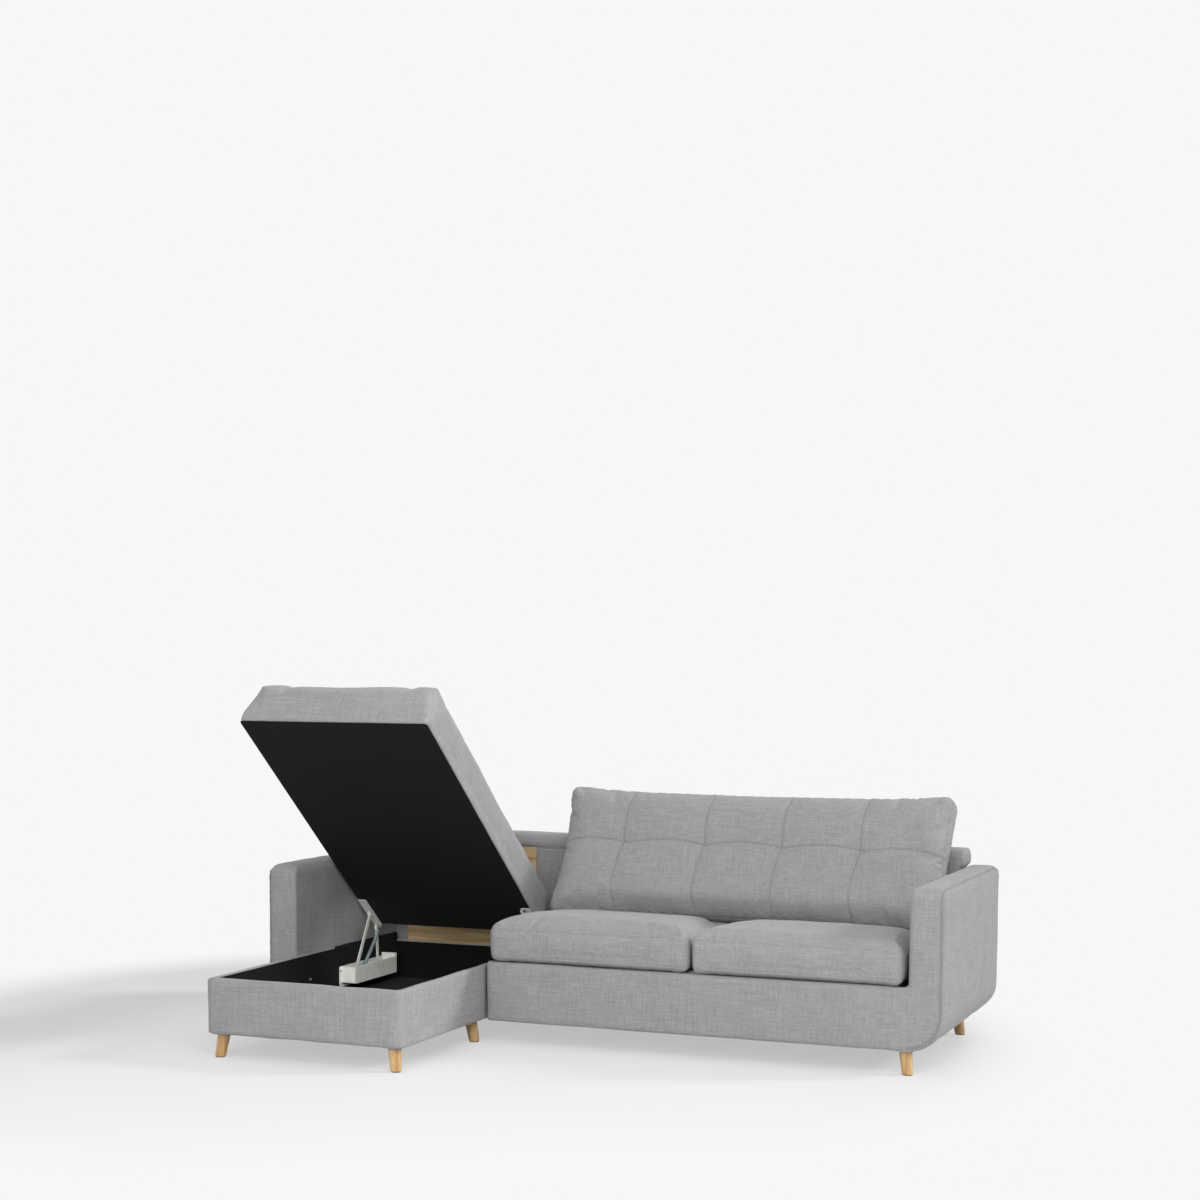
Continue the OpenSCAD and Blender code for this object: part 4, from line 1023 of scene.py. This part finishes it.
def lid_cover():
    obj = pad_mesh("lid_cover", LID_W - SHY, LID_L - SHY, PAD_T - SHY_MORE,
                   PAD_PLAN_R, PAD_EDGE, PAD_DRAW, PAD_LOW_EDGE)
    remesh(obj, PAD_VOXEL, 1)
    rest = points(obj)
    put(obj, crown(rest, LID_W, LID_L, PAD_T, PAD_CROWN))
    swell(obj, PAD_SWELL, PAD_ROOT)
    co = ease_corners(points(obj), LID_W, LID_L, PAD_CORNER, PAD_CORNER_TOP, PAD_T)
    top = np.clip(co[:, 2] / PAD_T, 0, 1)
    co[:, 2] += PAD_WAVE * ripple(co, PAD_TOP_LENGTH, 81) * top
    # Full up to its front edge, lower at the corners and at the rear
    far_u = np.clip(2 * np.abs(co[:, 0]) / LID_W, 0, 1)
    far_v = np.clip(2 * np.abs(co[:, 1]) / LID_L, 0, 1)
    rear_v = np.clip(2 * co[:, 1] / LID_L, 0, 1)
    co[:, 2] -= PAD_CORNER_DROP * top ** 2 * (far_u * far_v) ** 8
    co[:, 2] += PAD_RISE * top ** 2 * (1 - far_u ** 4) * (1 - rear_v ** 8)
    # The long sides wave inward
    flank = np.clip(np.abs(co[:, 0]) / (LID_W / 2) - 0.9, 0, 0.1) * 10
    co[:, 0] += PAD_WAVE * ripple(co, PAD_SIDE_LENGTH, 82) * flank
    wave = 0.6 + np.sin(co[:, 1] * 2 * math.pi / FLANK_WAVE_LENGTH + FLANK_PHASE)
    co[:, 0] -= FLANK_WAVE * np.sign(co[:, 0]) * flank * wave * top
    half_w, half_l = LID_W / 2 - PAD_SIDE_GAP, LID_L / 2 - PAD_SIDE_GAP
    co[:, 0] = soft_limit(co[:, 0], -half_w, half_w)
    co[:, 1] = soft_limit(co[:, 1], -half_l, half_l)
    co[:, 2] = soft_limit(co[:, 2], 0.0, LID_T + PAD_OVER, TIGHT_KNEE)
    flat = rest[:, 2] < PAD_FLAT
    co[flat, 2] = np.minimum(co[flat, 2], rest[flat, 2] + PAD_FLAT_GAP)
    put(obj, co)
    paint_seam_shade(obj, np.zeros(len(co)))
    subdivide(obj)
    opened = (Matrix.Translation((0, LID_POLE[0], LID_POLE[1])) @ Matrix.Rotation(-LID_TILT, 4, "X")
              @ Matrix.Translation((0, -LID_POLE[0], -LID_POLE[1])))
    obj.matrix_world = opened @ Matrix.Translation((BOX_MID, LID_Y0 + LID_L / 2, PAD_Z))
    dress(obj, "upholstery", "lid", ["lid_pad", "lid_board"])


lid_cover()

# Mattress sections

QUILT_PITCH, QUILT_DEPTH, QUILT_SLOPE = 0.11, 0.0036, 0.018
QUILT_MARGIN = 0.02
# The two seams lie this far from the faces
MATTRESS_SEAM, MATTRESS_SEAM_W = 0.009, 0.003
MATTRESS_CORNER, MATTRESS_EDGE = 0.014, 0.010


def mattress(name, node, seed):
    """Block quilted in a diagonal grid on both faces, with two seams round its sides."""
    lo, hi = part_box(node)
    w, d, t = hi.x - lo.x, hi.y - lo.y, hi.z - lo.z
    obj = pad_mesh(name, w - 0.0006, d - 0.0006, t - 0.0004, MATTRESS_CORNER, MATTRESS_EDGE)
    remesh(obj, 0.0085, 1)
    rest = points(obj)
    co = rest.copy()
    diagonals = [(rest[:, 0] + s * rest[:, 1]) / math.sqrt(2) for s in (1, -1)]
    near = np.minimum(*[np.abs((q / QUILT_PITCH) % 1 - 0.5) * QUILT_PITCH for q in diagonals])
    inner = (np.clip((w / 2 - QUILT_MARGIN - np.abs(rest[:, 0])) / QUILT_MARGIN, 0, 1)
             * np.clip((d / 2 - QUILT_MARGIN - np.abs(rest[:, 1])) / QUILT_MARGIN, 0, 1))
    inward = np.where(rest[:, 2] > t / 2, -1, 1)
    co[:, 2] += inward * QUILT_DEPTH * np.exp(-near / QUILT_SLOPE) * inner
    put(obj, co)
    seam = np.minimum(boxing(rest, t - MATTRESS_SEAM, w, d, 0.015),
                      boxing(rest, MATTRESS_SEAM, w, d, 0.015))
    line = stitched(obj, seam, MATTRESS_SEAM_W, 0.0012, 0.0004, seed)
    # Painted shade in the two seams and along the quilting lines
    paint_seam_shade(obj, np.maximum(line, np.exp(-(near / MATTRESS_SEAM_W) ** 2) * inner * 0.5))
    obj.location = ((lo.x + hi.x) / 2, (lo.y + hi.y) / 2, lo.z + 0.0002)
    dress(obj, "mattress", body_of(node), [node])


for section, seed in (("head", 91), ("middle", 92), ("foot", 93)):
    mattress(section + "_mattress_pad", section + "_mattress", seed)

# Oak feet, turned and splayed

FOOT_SIDES = 40
# Height share and radius share up the rounded foot end; above it the cone is straight
FOOT_END = [(0.0, 0.82), (0.0, 0.90), (0.03, 0.955), (0.045, 0.99), (0.06, 1.0)]
FOOT_ROWS = FOOT_END + [(0.06 + 0.94 * k / 8, 1.0) for k in range(1, 9)]


def disc(co, z):
    """Centre and radius of the points of a foot that lie at this height."""
    flat = co[np.abs(co[:, 2] - z) < 0.0005]
    return (flat.min(0) + flat.max(0)) / 2, (flat[:, 0].max() - flat[:, 0].min()) / 2


def foot(node):
    co = points(NODES[node])
    z0 = co[:, 2].min()
    (c0, r0), (c1, r1) = disc(co, z0), disc(co, co[:, 2].max())
    n = FOOT_SIDES
    turns = [2 * math.pi * k / n for k in range(n)]
    verts = []
    for share, scale in FOOT_ROWS:
        c = c0 + (c1 - c0) * share
        r = (r0 + (r1 - r0) * share) * scale
        verts += [(c[0] + r * math.cos(a), c[1] + r * math.sin(a), c[2]) for a in turns]
    faces = strips(0, n, len(FOOT_ROWS))
    faces.append(tuple(range(n - 1, -1, -1)))
    faces.append(tuple(range(len(verts) - n, len(verts))))
    obj = mesh_from(node.replace("foot_", "oak_foot_"), verts, faces)
    dress(obj, "oak", nodes=[node])
    obj.data.materials.append(MAT["rubber"])
    for p in obj.data.polygons:
        if p.center.z < z0 + 0.0015:
            p.material_index = 1
        if abs(p.normal.z) > 0.9:
            p.use_smooth = False


for name in sorted(NODES):
    if name.startswith("foot_") and name.split("_")[1] in ("chaise", "sofa"):
        foot(name)

# Folded lip along the top of each lift channel's open side

PLATE_EDGE, TAB_H = 0.012, 0.012
# Section of the lip (out from the channel's side, up from its top)
LIP = [(-0.0004, -0.0165), (0.0010, -0.0165), (0.0016, -0.0155), (0.0016, -0.0012), (0.0008, 0.0004),
       (-0.0010, 0.0008), (-0.0026, 0.0002), (-0.0026, -0.0012), (-0.0004, -0.0010)]
# At its ends the lip runs out to this share of its width
LIP_END, LIP_RUN = 0.6, 0.002


def channel_lips():
    verts, faces = [], []
    n = len(LIP)
    for node, side in (("lift_channel_left", 1), ("lift_channel_right", -1)):
        lo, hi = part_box(node)
        x = hi.x if side > 0 else lo.x
        top = hi.z - TAB_H
        y0, y1 = lo.y + PLATE_EDGE + 0.0005, hi.y - PLATE_EDGE - 0.0120
        rows = [(y0, LIP_END), (y0 + LIP_RUN, 1.0), (y1 - LIP_RUN, 1.0), (y1, LIP_END)]
        first = len(verts)
        for y, scale in rows:
            verts += [(x + side * px * (scale if px > 0 else 1), y, top + pz) for px, pz in LIP]
        faces += strips(first, n, len(rows))
        faces.append(tuple(first + k for k in range(n - 1, -1, -1)))
        faces.append(tuple(range(len(verts) - n, len(verts))))
    lips = mesh_from("channel_lips", verts, faces)
    bm = bmesh.new()
    bm.from_mesh(lips.data)
    bmesh.ops.recalc_face_normals(bm, faces=bm.faces)
    bm.to_mesh(lips.data)
    bm.free()
    dress(lips, "lift_steel")
    lips.data.polygons.foreach_set("use_smooth", [False] * len(lips.data.polygons))


channel_lips()

# Finishes and eased edges of the CAD nodes that stay

FINISH = {
    "board": ["back_board"],
    "panel": ["side_panel", "rear_rail"],
    "dust": ["sofa_dust_cover"],
    "lining": ["chaise_lining", "lid_lining"],
    "floor": ["chaise_floor"],
    "zinc": ["wall_stud", "foot_plates", "lift_screws", "strut_tubes", "strut_rods"],
    "lift_steel": ["lift_channel_left", "lift_channel_right", "lift_base_pins", "front_links",
                   "rear_links", "lid_bracket_left", "lid_bracket_right"],
    "bed_steel": ["lid_screws", "bed_bracket_left", "bed_bracket_right", "front_swing_arms",
                  "rear_swing_arms", "head_frame", "middle_frame", "foot_frame", "middle_legs",
                  "foot_legs", "pull_bar"],
    "slat": ["head_slats", "middle_slats", "foot_slats"],
    "rubber": ["leg_caps_middle", "leg_caps_foot"],
}
EASE = {"lift_steel": 0.0007, "zinc": 0.0005, "bed_steel": 0.0008, "slat": 0.0015, "board": 0.0008,
        "panel": 0.001, "rubber": 0.0012}


def finish_node(node, finish):
    node.data.materials.clear()
    node.data.materials.append(MAT[finish])
    if finish in EASE:
        mod = node.modifiers.new("eased", "BEVEL")
        mod.width = EASE[finish]
        mod.segments = 2
        mod.limit_method = "ANGLE"
        mod.angle_limit = math.radians(40)


for finish, names in FINISH.items():
    for name in names:
        finish_node(NODES[name], finish)
